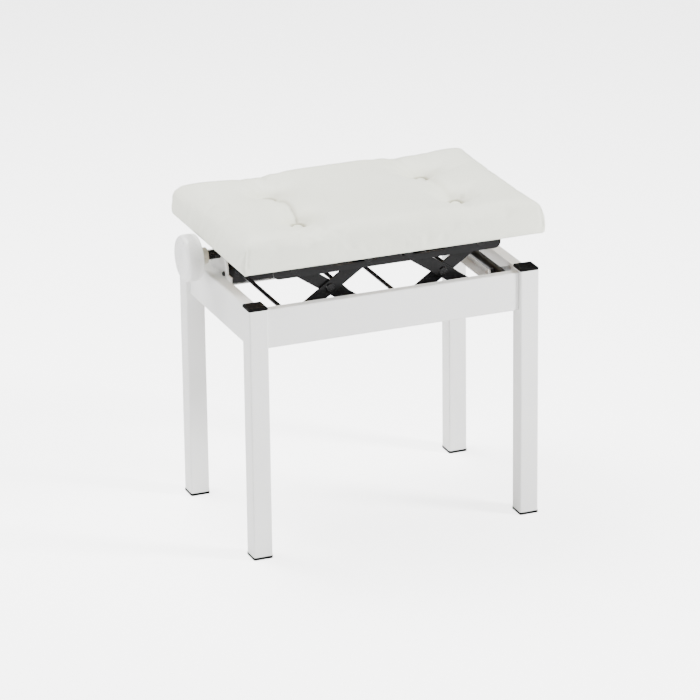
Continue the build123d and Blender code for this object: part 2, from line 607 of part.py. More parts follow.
# ---- rail screws: pan heads under the seat rail flanges, driven up into the board ----
with BuildPart() as rail_screws:
    with BuildSketch(Plane.XY.offset(SEAT_UNDERSIDE - RAIL_SHEET - RAIL_SCREW_HEAD)):
        with Locations(*board_screw_spots):
            Circle(RAIL_SCREW_HEAD_R)
    extrude(amount=RAIL_SCREW_HEAD)
    chamfer(rail_screws.edges().group_by(Axis.Z)[0], RAIL_SCREW_CHAMFER)
    with BuildSketch(Plane.XY.offset(SEAT_UNDERSIDE - RAIL_SHEET)):
        with Locations(*board_screw_spots):
            Circle(RAIL_SCREW_R)
    extrude(amount=RAIL_SHEET + BOARD_THICK - RAIL_SCREW_TIP_GAP)
rail_screws.part.label = "rail_screws"
export_step(rail_screws.part, "parts/rail_screws.step")

# ---- cushion: plain padded block over the board, with a pocket at each tufted button ----
with BuildPart() as cushion:
    with BuildSketch(Plane.XY.offset(SEAT_UNDERSIDE)):
        RectangleRounded(SEAT_LENGTH, SEAT_DEPTH, SEAT_CORNER)
    extrude(amount=SEAT_TOP - SEAT_UNDERSIDE)
    fillet(cushion.edges().group_by(Axis.Z)[-1], SEAT_EDGE)
    fillet(cushion.edges().group_by(Axis.Z)[0], SEAT_FOOT_EDGE)
    with BuildSketch(Plane.XY.offset(SEAT_UNDERSIDE)):
        pocket_length = SEAT_LENGTH - 2 * BOARD_INSET + 2 * BOARD_GAP
        pocket_depth = SEAT_DEPTH - 2 * BOARD_INSET + 2 * BOARD_GAP
        RectangleRounded(pocket_length, pocket_depth, SEAT_CORNER - BOARD_INSET + BOARD_GAP)
    extrude(amount=BOARD_THICK + BOARD_GAP, mode=Mode.SUBTRACT)
    with BuildSketch(Plane.XY.offset(BUTTON_BASE - BUTTON_POCKET_GAP)):
        with Locations(*TUFT_SPOTS):
            Circle(BUTTON_POCKET_R)
    extrude(amount=SEAT_TOP, mode=Mode.SUBTRACT)
cushion.part.label = "cushion"
export_step(cushion.part, "parts/cushion.step")

# ---- tuft buttons: covered buttons sunk in the cushion ----
with BuildPart() as tuft_buttons:
    with BuildSketch(Plane.XY.offset(BUTTON_BASE)):
        with Locations(*TUFT_SPOTS):
            Circle(BUTTON_R)
    extrude(amount=BUTTON_TOP - BUTTON_BASE)
    fillet(tuft_buttons.edges().group_by(Axis.Z)[-1], BUTTON_EDGE)
tuft_buttons.part.label = "tuft_buttons"
export_step(tuft_buttons.part, "parts/tuft_buttons.step")

# ---- knob bracket: arched plate that stands on the left apron and carries the hand screw ----
with BuildPart() as knob_bracket:
    with BuildSketch(Plane.YZ.offset(BRACKET_X)):
        with Locations((SCREW_Y, BRACKET_ARCH_Z)):
            Circle(BRACKET_ARCH_R)
        arch_foot = APRON_TOP - BRACKET_LAP
        with Locations((SCREW_Y, (arch_foot + BRACKET_ARCH_Z) / 2)):
            Rectangle(2 * BRACKET_ARCH_R, BRACKET_ARCH_Z - arch_foot)
        with Locations((SCREW_Y, (arch_foot + BRACKET_FOOT_TOP) / 2)):
            Rectangle(2 * BRACKET_FOOT_HALF, BRACKET_FOOT_TOP - arch_foot)
        with Locations((SCREW_Y, arch_foot - CUT_BLOCK / 2)):
            Rectangle(CUT_BLOCK, CUT_BLOCK, mode=Mode.SUBTRACT)
        with Locations((SCREW_Y, SCREW_Z)):
            Circle(SLEEVE_R + RUNNING_GAP, mode=Mode.SUBTRACT)
        with Locations(BRACKET_BOLT):
            Circle(BRACKET_HOLE_R, mode=Mode.SUBTRACT)
    extrude(amount=BRACKET_SHEET)
knob_bracket.part.label = "knob_bracket"
export_step(knob_bracket.part, "parts/knob_bracket.step")

# ---- bearing housing: steel block behind the bracket that takes the thrust of the hand screw ----
with BuildPart() as bearing_housing:
    with BuildSketch(Plane.YZ.offset(HOUSING_X)):
        with Locations((SCREW_Y, SCREW_Z - HOUSING_DROP)):
            SlotCenterToCenter(HOUSING_RISE, HOUSING_WIDTH, rotation=90)
        with Locations((SCREW_Y, BRACKET_BOLT[1])):
            RectangleRounded(*HOUSING_FOOT)
        with Locations((SCREW_Y, SCREW_Z)):
            Circle(SCREW_R + SCREW_PLAY, mode=Mode.SUBTRACT)
        with Locations((SCREW_Y, SCREW_Z + HOUSING_TOP + CUT_BLOCK / 2)):
            Rectangle(CUT_BLOCK, CUT_BLOCK, mode=Mode.SUBTRACT)
        with Locations(BRACKET_BOLT):
            Circle(BRACKET_HOLE_R, mode=Mode.SUBTRACT)
    extrude(amount=HOUSING_THICK)
bearing_housing.part.label = "bearing_housing"
export_step(bearing_housing.part, "parts/bearing_housing.step")

# ---- bracket bolt: button-headed bolt through bracket and housing ----
with BuildPart() as bracket_bolt:
    with BuildSketch(Plane.YZ.offset(BRACKET_X)):
        with Locations(BRACKET_BOLT):
            Circle(BRACKET_HEAD_R)
    extrude(amount=-BRACKET_HEAD, taper=BRACKET_HEAD_TAPER)
    with BuildSketch(Plane.YZ.offset(BRACKET_X)):
        with Locations(BRACKET_BOLT):
            Circle(BRACKET_BOLT_R)
    extrude(amount=BRACKET_SHEET + HOUSING_THICK + CUT_CLEAR)
bracket_bolt.part.label = "bracket_bolt"
export_step(bracket_bolt.part, "parts/bracket_bolt.step")

# ---- screw sleeve: black tube between bush and housing ----
with BuildPart() as screw_sleeve:
    with BuildSketch(Plane.YZ.offset(BUSH_INNER)):
        with Locations((SCREW_Y, SCREW_Z)):
            Circle(SLEEVE_R)
            Circle(SLEEVE_BORE, mode=Mode.SUBTRACT)
    extrude(amount=HOUSING_X - BUSH_INNER)
screw_sleeve.part.label = "screw_sleeve"
export_step(screw_sleeve.part, "parts/screw_sleeve.step")

# ---- knob bush: moulded bearing ring between knob and sleeve ----
with BuildPart() as knob_bush:
    with BuildSketch(Plane.YZ.offset(KNOB_BACK + BUSH_GAP)):
        with Locations((SCREW_Y, SCREW_Z)):
            Circle(BUSH_R)
            Circle(SCREW_R + SCREW_PLAY, mode=Mode.SUBTRACT)
    extrude(amount=BUSH_INNER - KNOB_BACK - BUSH_GAP)
    rims = knob_bush.edges().filter_by(GeomType.CIRCLE).group_by(SortBy.RADIUS)[-1]
    chamfer(rims, BUSH_CHAMFER)
knob_bush.part.label = "knob_bush"
export_step(knob_bush.part, "parts/knob_bush.step")

# ---- knob: thick plastic disc with a dished face, pushed onto the end of the screw ----
with BuildPart() as knob:
    with BuildSketch(screw_section()):
        with BuildLine():
            rim = Polyline(
                (KNOB_BACK, 0),
                (KNOB_BACK, KNOB_R - KNOB_BACK_EDGE),
                (KNOB_BACK - KNOB_BACK_EDGE, KNOB_R),
                (KNOB_FACE + KNOB_FACE_EDGE, KNOB_R),
                (KNOB_FACE, KNOB_R - KNOB_FACE_EDGE),
                (KNOB_FACE, KNOB_R - KNOB_RING),
            )
            dish_floor = KNOB_FACE + DISH_DEPTH
            dish_middle = (KNOB_FACE + DISH_MIDDLE[0], DISH_MIDDLE[1])
            dish = ThreePointArc(rim @ 1, dish_middle, (dish_floor, DISH_FLAT_R))
            Polyline(dish @ 1, (dish_floor, 0), rim @ 0)
        make_face()
    revolve(axis=SCREW_AXIS)
    with BuildSketch(Plane.YZ.offset(KNOB_BACK)):
        with Locations((SCREW_Y, SCREW_Z)):
            Circle(SCREW_R + RUNNING_GAP)
    extrude(amount=-KNOB_SOCKET, mode=Mode.SUBTRACT)
knob.part.label = "knob"
export_step(knob.part, "parts/knob.step")

# ---- lead screw: long threaded rod, drawn at its outer thread diameter ----
with BuildPart() as lead_screw:
    with BuildSketch(Plane.YZ.offset(KNOB_BACK - SCREW_SEATING)):
        with Locations((SCREW_Y, SCREW_Z)):
            Circle(SCREW_R)
    extrude(amount=SCREW_END - KNOB_BACK + SCREW_SEATING)
    chamfer(lead_screw.edges().sort_by(Axis.X)[-1], SCREW_CHAMFER)
lead_screw.part.label = "lead_screw"
export_step(lead_screw.part, "parts/lead_screw.step")

# ---- screw collars: a thrust ring behind the housing and a stop at the inner end ----
with BuildPart() as screw_collars:
    thrust_face = HOUSING_X + HOUSING_THICK + BUSH_GAP
    end_face = SCREW_END - END_COLLAR_SETBACK
    for start, length in ((thrust_face, THRUST_COLLAR), (end_face, END_COLLAR)):
        with BuildSketch(Plane.YZ.offset(start)):
            with Locations((SCREW_Y, SCREW_Z)):
                Circle(COLLAR_R)
                Circle(SCREW_R + RUNNING_GAP, mode=Mode.SUBTRACT)
        extrude(amount=length)
screw_collars.part.label = "screw_collars"
export_step(screw_collars.part, "parts/screw_collars.step")

# ---- drive nut: square bar threaded on the screw, reaching back to the drive plate ----
with BuildPart() as drive_nut:
    with BuildSketch(Plane.XZ.offset(-PLATE_FRONT)):
        with Locations((-SLIDE_X, SCREW_Z)):
            Rectangle(NUT_SIZE, NUT_SIZE)
        with Locations(*[(-SLIDE_X, z) for z in PLATE_SCREW_Z]):
            Circle(TAP_HOLE_R, mode=Mode.SUBTRACT)
    extrude(amount=TAP_DEPTH)
    with BuildSketch(Plane.XZ.offset(-PLATE_FRONT + TAP_DEPTH)):
        with Locations((-SLIDE_X, SCREW_Z)):
            Rectangle(NUT_SIZE, NUT_SIZE)
    extrude(amount=PLATE_FRONT - TAP_DEPTH - NUT_FRONT)
    chamfer(drive_nut.faces().sort_by(Axis.Y)[0].edges(), NUT_CHAMFER)
    with BuildSketch(Plane.YZ.offset(-SLIDE_X - NUT_SIZE)):
        with Locations((SCREW_Y, SCREW_Z)):
            Circle(SCREW_R + SCREW_PLAY)
    extrude(amount=2 * NUT_SIZE, mode=Mode.SUBTRACT)
drive_nut.part.label = "drive_nut"
export_step(drive_nut.part, "parts/drive_nut.step")

# ---- drive plate: upright link from the drive nut down to the left sliding rod ----
with BuildPart() as drive_plate:
    plate_top = SCREW_Z + NUT_SIZE / 2
    with BuildSketch(Plane.XZ.offset(-PLATE_FRONT - PLATE_THICK)):
        with Locations((-SLIDE_X, LOW_PIN_Z)):
            Circle(PLATE_WIDTH / 2)
        with Locations((-SLIDE_X, (LOW_PIN_Z + plate_top) / 2)):
            Rectangle(PLATE_WIDTH, plate_top - LOW_PIN_Z)
        with Locations((-SLIDE_X, LOW_PIN_Z)):
            Circle(PIN_R + RUNNING_GAP, mode=Mode.SUBTRACT)
        with Locations(*[(-SLIDE_X, z) for z in PLATE_SCREW_Z]):
            Circle(PLATE_HOLE_R, mode=Mode.SUBTRACT)
    extrude(amount=PLATE_THICK)
drive_plate.part.label = "drive_plate"
export_step(drive_plate.part, "parts/drive_plate.step")

# ---- plate screws: two cap screws that hold the drive plate on the drive nut ----
with BuildPart() as plate_screws:
    with BuildSketch(Plane.XZ.offset(-PLATE_FRONT - PLATE_THICK - PLATE_SCREW_HEAD)):
        with Locations(*[(-SLIDE_X, z) for z in PLATE_SCREW_Z]):
            Circle(PLATE_SCREW_HEAD_R)
    extrude(amount=PLATE_SCREW_HEAD)
    with BuildSketch(Plane.XZ.offset(-PLATE_FRONT - PLATE_THICK)):
        with Locations(*[(-SLIDE_X, z) for z in PLATE_SCREW_Z]):
            Circle(PLATE_SCREW_R)
    extrude(amount=PLATE_THICK + PLATE_SCREW_LENGTH)
plate_screws.part.label = "plate_screws"
export_step(plate_screws.part, "parts/plate_screws.step")
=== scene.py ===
import math

import bmesh
import bpy
import numpy as np
from mathutils import Matrix, Vector, noise


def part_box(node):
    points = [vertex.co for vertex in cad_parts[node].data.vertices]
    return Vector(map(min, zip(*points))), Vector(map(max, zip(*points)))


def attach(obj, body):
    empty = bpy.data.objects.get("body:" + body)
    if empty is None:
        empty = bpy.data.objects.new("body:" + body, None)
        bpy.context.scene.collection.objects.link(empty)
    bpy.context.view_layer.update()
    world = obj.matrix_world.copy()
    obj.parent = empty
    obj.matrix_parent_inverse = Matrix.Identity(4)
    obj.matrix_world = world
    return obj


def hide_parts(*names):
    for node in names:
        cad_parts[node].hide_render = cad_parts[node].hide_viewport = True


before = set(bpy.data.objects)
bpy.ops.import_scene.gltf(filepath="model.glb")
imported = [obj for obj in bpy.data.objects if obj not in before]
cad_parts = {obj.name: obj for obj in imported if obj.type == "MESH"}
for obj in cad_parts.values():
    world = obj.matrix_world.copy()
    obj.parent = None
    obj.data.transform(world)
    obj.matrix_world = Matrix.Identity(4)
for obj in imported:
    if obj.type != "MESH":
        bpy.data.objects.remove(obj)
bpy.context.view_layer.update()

# ----------------------------------------------------------------------
# The studio: a pale floor that runs out of sight and glows to the eye, five soft lights, and a
# long lens that looks down at the bench from its front left corner.
VIEW_AZIMUTH = math.radians(-22.245)
VIEW_ELEVATION = math.radians(20.733)
VIEW_ROLL = math.radians(-0.556)
VIEW_DISTANCE = 6.459
LENS_MM = 217.26
SENSOR_MM = 36.0
LOOK_AT = Vector((0.0298, 0.0, 0.2487))
LENS_SHIFT = (-0.0379, -0.0032)
NEAREST_SEEN = 0.05
FARTHEST_SEEN = 100.0
# Each light: name, place, the point it faces, its width and height, and its watts.
SOFTBOXES = [("overhead_softbox", (-0.5, 0.7, 2.4), (0.0, 0.0, 0.45), (1.6, 1.2), 112),
             ("front_softbox", (0.0, -3.2, 1.1), (0.0, 0.0, 0.28), (1.6, 1.2), 34),
             ("key_softbox", (2.5, -1.9, 1.75), (0.0, 0.0, 0.45), (0.7, 0.7), 260),
             ("side_softbox", (-3.0, -0.6, 1.1), (0.0, 0.0, 0.3), (1.4, 1.2), 62),
             ("back_softbox", (-1.6, 2.0, 2.3), (0.0, 0.0, 0.4), (1.2, 1.0), 60)]
AIR_LIGHT = 0.16
PURE_WHITE = (1.0, 1.0, 1.0, 1.0)
FLOOR_HALF = 30.0
FLOOR_COLOUR = (0.97, 0.97, 0.968, 1.0)
FLOOR_ROUGHNESS = 0.95
FLOOR_GLOW = 3.2


def in_scene(name, data):
    """A new object in the scene that holds a mesh, a light or a camera."""
    thing = bpy.data.objects.new(name, data)
    bpy.context.scene.collection.objects.link(thing)
    return thing


level_reach = math.cos(VIEW_ELEVATION)
back = Vector((math.sin(VIEW_AZIMUTH) * level_reach,
               -math.cos(VIEW_AZIMUTH) * level_reach,
               math.sin(VIEW_ELEVATION)))
level = Vector((math.cos(VIEW_AZIMUTH), math.sin(VIEW_AZIMUTH), 0.0))
upright = back.cross(level)
right = level * math.cos(VIEW_ROLL) + upright * math.sin(VIEW_ROLL)
upward = upright * math.cos(VIEW_ROLL) - level * math.sin(VIEW_ROLL)
camera_data = bpy.data.cameras.new("bench_camera")
camera_data.lens = LENS_MM
camera_data.sensor_width = SENSOR_MM
camera_data.shift_x, camera_data.shift_y = LENS_SHIFT
camera_data.clip_start = NEAREST_SEEN
camera_data.clip_end = FARTHEST_SEEN
camera = in_scene("bench_camera", camera_data)
placed = Matrix((right, upward, back)).transposed().to_4x4()
placed.translation = LOOK_AT + back * VIEW_DISTANCE
camera.matrix_world = placed
bpy.context.scene.camera = camera

for name, place, aim, size, watts in SOFTBOXES:
    lamp = bpy.data.lights.new(name, "AREA")
    lamp.shape = "RECTANGLE"
    lamp.size, lamp.size_y = size
    lamp.energy = watts
    light = in_scene(name, lamp)
    light.location = place
    light.rotation_euler = (Vector(aim) - Vector(place)).to_track_quat("-Z", "Y").to_euler()

studio_air = bpy.data.worlds.new("studio_air")
studio_air.use_nodes = True
air = studio_air.node_tree.nodes["Background"]
air.inputs["Color"].default_value = PURE_WHITE
air.inputs["Strength"].default_value = AIR_LIGHT
bpy.context.scene.world = studio_air


def add_node(tree, kind, inputs, **settings):
    """One node with its settings; each of its inputs is linked to an output or set to a value."""
    node = tree.nodes.new(kind)
    for label, value in settings.items():
        setattr(node, label, value)
    for label, value in inputs.items():
        if isinstance(value, bpy.types.NodeSocket):
            tree.links.new(value, node.inputs[label])
        else:
            node.inputs[label].default_value = value
    return node


def output_of(tree, kind, inputs, **settings):
    """The first output of a new node."""
    return add_node(tree, kind, inputs, **settings).outputs[0]


def worked(tree, operation, first, second):
    """A sum on two values, each a number or an output."""
    return output_of(tree, "ShaderNodeMath", {0: first, 1: second}, operation=operation)


def new_finish(name, values):
    """A new material, its node tree and its main shader, whose even values are set here."""
    material = bpy.data.materials.new(name)
    material.use_nodes = True
    shader = material.node_tree.nodes["Principled BSDF"]
    for label, value in values.items():
        shader.inputs[label].default_value = value
    return material, material.node_tree, shader


floor_paper, paper, paper_shader = new_finish(
    "floor_paper", {"Base Color": FLOOR_COLOUR, "Roughness": FLOOR_ROUGHNESS,
                    "Specular IOR Level": 0.0, "Emission Color": PURE_WHITE})
seen_ray = add_node(paper, "ShaderNodeLightPath", {}).outputs["Is Camera Ray"]
paper.links.new(worked(paper, "MULTIPLY", seen_ray, FLOOR_GLOW),
                paper_shader.inputs["Emission Strength"])
floor_mesh = bpy.data.meshes.new("studio_floor")
floor_corners = [(-FLOOR_HALF, -FLOOR_HALF, 0.0), (FLOOR_HALF, -FLOOR_HALF, 0.0),
                 (FLOOR_HALF, FLOOR_HALF, 0.0), (-FLOOR_HALF, FLOOR_HALF, 0.0)]
floor_mesh.from_pydata(floor_corners, [], [(0, 1, 2, 3)])
floor_mesh.materials.append(floor_paper)
studio_floor = in_scene("studio_floor", floor_mesh)

# ----------------------------------------------------------------------
# The stand: four square steel tube legs, two end aprons welded between them, two long aprons
# bolted across, and the knob bracket. All are powder coated white, with a faint orange peel.
POWDER_WHITE = (0.800, 0.800, 0.788, 1.0)
POWDER_SHADE = (0.770, 0.770, 0.757, 1.0)
POWDER_PATCHES = 7.0
POWDER_PEEL = 900.0
POWDER_PEEL_DEPTH = 0.00006
POWDER_ROUGHNESS = (0.40, 0.50)
FINE_PATCH_SHARE = 9.0
NUMBER_SOCKETS = {float: "NodeSocketFloat", int: "NodeSocketInt"}
SPECK_SHARE = 3.7
WHITE_STEEL = ["leg_front_left", "leg_front_right", "leg_rear_left", "leg_rear_right",
               "front_apron", "rear_apron", "left_apron", "right_apron", "knob_bracket"]


def new_tree(name, kind, entries, results):
    """An empty node tree, its input node's outputs and its output node.

    Each entry is a number that the input starts at, or the kind of its socket."""
    tree = bpy.data.node_groups.new(name, kind)
    for label, given in entries.items():
        number = NUMBER_SOCKETS.get(type(given))
        socket = tree.interface.new_socket(name=label, in_out="INPUT",
                                           socket_type=number or "NodeSocket" + given)
        if number:
            socket.default_value = given
    for label, given in results.items():
        tree.interface.new_socket(name=label, in_out="OUTPUT", socket_type="NodeSocket" + given)
    return tree, tree.nodes.new("NodeGroupInput").outputs, tree.nodes.new("NodeGroupOutput")


def clouds(tree, vector, scale, detail=2.0, roughness=0.5):
    """A soft noise between 0 and 1."""
    return output_of(tree, "ShaderNodeTexNoise", {"Vector": vector, "Scale": scale,
                                                  "Detail": detail, "Roughness": roughness})


def spread(tree, value, low, high, from_low=0.3, from_high=0.7):
    """A value spread between two others, each a number or an output."""
    return output_of(tree, "ShaderNodeMapRange",
                     {"Value": value, "From Min": from_low, "From Max": from_high,
                      "To Min": low, "To Max": high})


def two_colours(tree, mask, first, second):
    """A colour between two others, chosen by a mask. A Mix node's colour sockets are numbered."""
    blend = add_node(tree, "ShaderNodeMix", {0: mask, 6: first, 7: second}, data_type="RGBA")
    return blend.outputs[2]


batch_drift, entry, result = new_tree(
    "batch_drift", "ShaderNodeTree",
    {"Vector": "Vector", "Colour": "Color", "Shade": "Color", "Patch Scale": 6.0,
     "Smooth Roughness": 0.4, "Dull Roughness": 0.5}, {"Colour": "Color", "Roughness": "Float"})
patches = clouds(batch_drift, entry["Vector"], entry["Patch Scale"], 3.0)
drifted = two_colours(batch_drift, spread(batch_drift, patches, 0.0, 1.0),
                      entry["Colour"], entry["Shade"])
fine_scale = worked(batch_drift, "MULTIPLY", entry["Patch Scale"], FINE_PATCH_SHARE)
fine_patches = clouds(batch_drift, entry["Vector"], fine_scale, 4.0, 0.6)
dulled = spread(batch_drift, fine_patches, entry["Smooth Roughness"], entry["Dull Roughness"])
batch_drift.links.new(drifted, result.inputs["Colour"])
batch_drift.links.new(dulled, result.inputs["Roughness"])

coat_peel, entry, result = new_tree(
    "coat_peel", "ShaderNodeTree",
    {"Vector": "Vector", "Peel Scale": 900.0, "Speck Share": 0.2}, {"Height": "Float"})
swells = clouds(coat_peel, entry["Vector"], entry["Peel Scale"], 1.0)
speck_scale = worked(coat_peel, "MULTIPLY", entry["Peel Scale"], SPECK_SHARE)
specks = clouds(coat_peel, entry["Vector"], speck_scale, 1.0)
speck_height = worked(coat_peel, "MULTIPLY", specks, entry["Speck Share"])
coat_peel.links.new(worked(coat_peel, "ADD", swells, speck_height), result.inputs["Height"])


def drift_colour(tree, shader, place, colour, shade, patch, roughness):
    """Drifting colour and gloss: sets the roughness and returns the colour."""
    drift = add_node(tree, "ShaderNodeGroup",
                     {"Vector": place, "Colour": colour, "Shade": shade, "Patch Scale": patch,
                      "Smooth Roughness": roughness[0], "Dull Roughness": roughness[1]},
                     node_tree=batch_drift)
    tree.links.new(drift.outputs["Roughness"], shader.inputs["Roughness"])
    return drift.outputs["Colour"]


def add_relief(tree, shader, height, depth):
    """A fine relief in a finish, as deep as the given metres."""
    relief = output_of(tree, "ShaderNodeBump", {"Height": height, "Distance": depth})
    tree.links.new(relief, shader.inputs["Normal"])


def object_place(tree):
    """A piece's own coordinates, in metres."""
    return add_node(tree, "ShaderNodeTexCoord", {}).outputs["Object"]


def coated(name, colour, shade, patch, roughness, peel, peel_depth, speck=0.2, **values):
    """A coated or moulded finish: drifting colour and gloss over a fine orange peel."""
    material, tree, shader = new_finish(name, {label.replace("_", " "): value
                                               for label, value in values.items()})
    place = object_place(tree)
    drifting = drift_colour(tree, shader, place, colour, shade, patch, roughness)
    tree.links.new(drifting, shader.inputs["Base Color"])
    peeled = output_of(tree, "ShaderNodeGroup",
                       {"Vector": place, "Peel Scale": peel, "Speck Share": speck},
                       node_tree=coat_peel)
    add_relief(tree, shader, peeled, peel_depth)
    return material


def dress_nodes(names, material):
    """Gives each carried-over CAD node a finish, in the slots it already has."""
    for name in names:
        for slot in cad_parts[name].material_slots:
            slot.material = material


white_powder = coated("white_powder_coat", POWDER_WHITE, POWDER_SHADE, POWDER_PATCHES,
                      POWDER_ROUGHNESS, POWDER_PEEL, POWDER_PEEL_DEPTH)
dress_nodes(WHITE_STEEL, white_powder)

# ----------------------------------------------------------------------
# The weld beads: a short fillet of weld runs up each joint between an end apron and the leg
# beside it, on the inner side of the frame. It is rippled, and lies under the same powder coat.
BEAD_RADIUS = 0.0021
BEAD_PITCH = 0.0016
BEAD_END_GAP = 0.004
BEAD_UNEVEN = 0.28
BEAD_INSET = 0.0026
BEAD_SEED = 7


def geometry_tree(name, entries):
    """An empty Geometry Nodes tree that takes points or lines and gives a mesh."""
    return new_tree(name, "GeometryNodeTree",
                    {"Geometry": "Geometry", **entries, "Material": "Material"},
                    {"Geometry": "Geometry"})


def swept(tree, path, sides, radius):
    """A round profile swept along a curve, with its ends closed."""
    ring = output_of(tree, "GeometryNodeCurvePrimitiveCircle",
                     {"Resolution": sides, "Radius": radius})
    return add_node(tree, "GeometryNodeCurveToMesh",
                    {"Curve": path, "Profile Curve": ring, "Fill Caps": True})


def uneven(tree, low, high, seed):
    """A random value for each point, between two others."""
    chance = add_node(tree, "FunctionNodeRandomValue", {2: low, 3: high, "Seed": seed},
                      data_type="FLOAT")
    return chance.outputs[1]


def close_tree(tree, entry, result, geometry):
    """Ends a tree in Realize Instances and Set Material."""
    real = output_of(tree, "GeometryNodeRealizeInstances", {"Geometry": geometry})
    painted = output_of(tree, "GeometryNodeSetMaterial",
                        {"Geometry": real, "Material": entry["Material"]})
    tree.links.new(painted, result.inputs["Geometry"])


def baked_mesh(piece):
    """A piece's mesh with its modifiers worked in; the piece itself is removed."""
    bpy.context.view_layer.update()
    evaluated = piece.evaluated_get(bpy.context.evaluated_depsgraph_get())
    mesh = bpy.data.meshes.new_from_object(evaluated)
    bpy.data.objects.remove(piece)
    return mesh


def finished(name, mesh):
    """Puts a mesh in the scene under its name, merged and with its faces outwards."""
    work = bmesh.new()
    work.from_mesh(mesh)
    bmesh.ops.remove_doubles(work, verts=work.verts, dist=1e-6)
    bmesh.ops.recalc_face_normals(work, faces=work.faces)
    work.to_mesh(mesh)
    work.free()
    mesh.name = name
    mesh.shade_smooth()
    return in_scene(name, mesh)


def grown(name, tree, sizes, points, edges=()):
    """Runs a tree on a few points and returns its result as a plain mesh object."""
    seed_mesh = bpy.data.meshes.new(name + "_seed")
    seed_mesh.from_pydata([tuple(point) for point in points], list(edges), [])
    seed = in_scene(name + "_seed", seed_mesh)
    growth = seed.modifiers.new("growth", "NODES")
    growth.node_group = tree
    for item in tree.interface.items_tree:
        if item.in_out == "INPUT" and item.name in sizes:
            growth[item.identifier] = sizes[item.name]
    return finished(name, baked_mesh(seed))


bead_tree, entry, result = geometry_tree(
    "weld_bead", {"Bead Radius": 0.002, "Pitch": 0.0016, "Uneven": 0.2, "Seed": 3})
run = output_of(bead_tree, "GeometryNodeMeshToCurve", {"Mesh": entry["Geometry"]})
ripple_pitch = worked(bead_tree, "MULTIPLY", entry["Pitch"], 0.5)
stepped = output_of(bead_tree, "GeometryNodeResampleCurve",
                    {"Curve": run, "Length": ripple_pitch}, mode="LENGTH")
thinnest = worked(bead_tree, "SUBTRACT", 1.0, entry["Uneven"])
swell = uneven(bead_tree, thinnest, 1.0, entry["Seed"])
beaded = output_of(bead_tree, "GeometryNodeSetCurveRadius", {"Curve": stepped, "Radius": swell})
bead_body = swept(bead_tree, beaded, 10, entry["Bead Radius"])
bead_tree.links.new(swell, bead_body.inputs["Scale"])
close_tree(bead_tree, entry, result, bead_body.outputs[0])

bead_points = []
for leg_name, apron_name in (("leg_front_left", "left_apron"), ("leg_rear_left", "left_apron"),
                             ("leg_front_right", "right_apron"),
                             ("leg_rear_right", "right_apron")):
    leg_low, leg_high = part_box(leg_name)
    apron_low, apron_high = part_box(apron_name)
    leg_inner_y = leg_high.y if leg_low.y < 0.0 else leg_low.y
    side = -1.0 if leg_low.x < 0.0 else 1.0
    plate_x = (apron_low.x if side < 0.0 else apron_high.x) - side * BEAD_INSET
    bead_points.append(Vector((plate_x, leg_inner_y, apron_low.z + BEAD_END_GAP)))
    bead_points.append(Vector((plate_x, leg_inner_y, apron_high.z - BEAD_END_GAP)))
bead_edges = [(start, start + 1) for start in range(0, len(bead_points), 2)]
weld_beads = grown("weld_beads", bead_tree,
                   {"Bead Radius": BEAD_RADIUS, "Pitch": BEAD_PITCH, "Uneven": BEAD_UNEVEN,
                    "Seed": BEAD_SEED, "Material": white_powder}, bead_points, bead_edges)
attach(weld_beads, "frame")

# ----------------------------------------------------------------------
# The leg caps and feet: moulded black polypropylene plugs, pressed into the tube ends. Their
# faces have a fine spark texture and a soft sheen.
MOULDED_BLACK = (0.0035, 0.0035, 0.0035, 1.0)
MOULDED_GREY = (0.0060, 0.0060, 0.0062, 1.0)
BLACK_PLASTIC = ["leg_caps", "foot_front_left", "foot_front_right", "foot_rear_left",
                 "foot_rear_right"]
black_plastic = coated("moulded_black_plastic", MOULDED_BLACK, MOULDED_GREY, patch=25.0,
                       roughness=(0.42, 0.56), peel=2600.0, peel_depth=0.00004, speck=0.5,
                       Specular_IOR_Level=0.03)
dress_nodes(BLACK_PLASTIC, black_plastic)

# ----------------------------------------------------------------------
# The lift: pressed steel rails, scissor arms, rods and tubes under a thin black baked enamel,
# which is glossier in some patches and carries fine scuffs.
ENAMEL_BLACK = (0.0035, 0.0035, 0.0037, 1.0)
ENAMEL_WORN = (0.0070, 0.0070, 0.0074, 1.0)
RAIL_BLACK = (0.0060, 0.0060, 0.0064, 1.0)
RAIL_WORN = (0.0100, 0.0100, 0.0106, 1.0)
SIDES = ("left", "right")
ENDS = ("front", "rear")
LIFT_STEEL = ["front_base_rail", "rear_base_rail", "left_base_tube", "right_base_tube",
              "bearing_housing", "drive_plate"]
LIFT_RODS = ["outer_pins", "screw_sleeve"]
for side_name in SIDES:
    LIFT_RODS += [side_name + "_fixed_rod", side_name + "_sliding_rod",
                  side_name + "_slide_pins", side_name + "_centre_rivets"]
    for end_name in ENDS:
        LIFT_STEEL += [end_name + "_" + side_name + "_outer_arm",
                       end_name + "_" + side_name + "_inner_arm"]
black_enamel = coated("black_baked_enamel", ENAMEL_BLACK, ENAMEL_WORN, patch=30.0,
                      roughness=(0.26, 0.42), peel=700.0, peel_depth=0.00003, speck=0.3,
                      Specular_IOR_Level=0.16)
rail_enamel = coated("rail_baked_enamel", RAIL_BLACK, RAIL_WORN, patch=18.0,
                     roughness=(0.30, 0.44), peel=700.0, peel_depth=0.00003, speck=0.3,
                     Specular_IOR_Level=0.16)
rod_enamel = coated("rod_baked_enamel", ENAMEL_BLACK, RAIL_BLACK, patch=45.0,
                    roughness=(0.18, 0.32), peel=500.0, peel_depth=0.00002,
                    Specular_IOR_Level=0.2)
dress_nodes(LIFT_STEEL, black_enamel)
dress_nodes(["front_seat_rail", "rear_seat_rail"], rail_enamel)
dress_nodes(LIFT_RODS, rod_enamel)

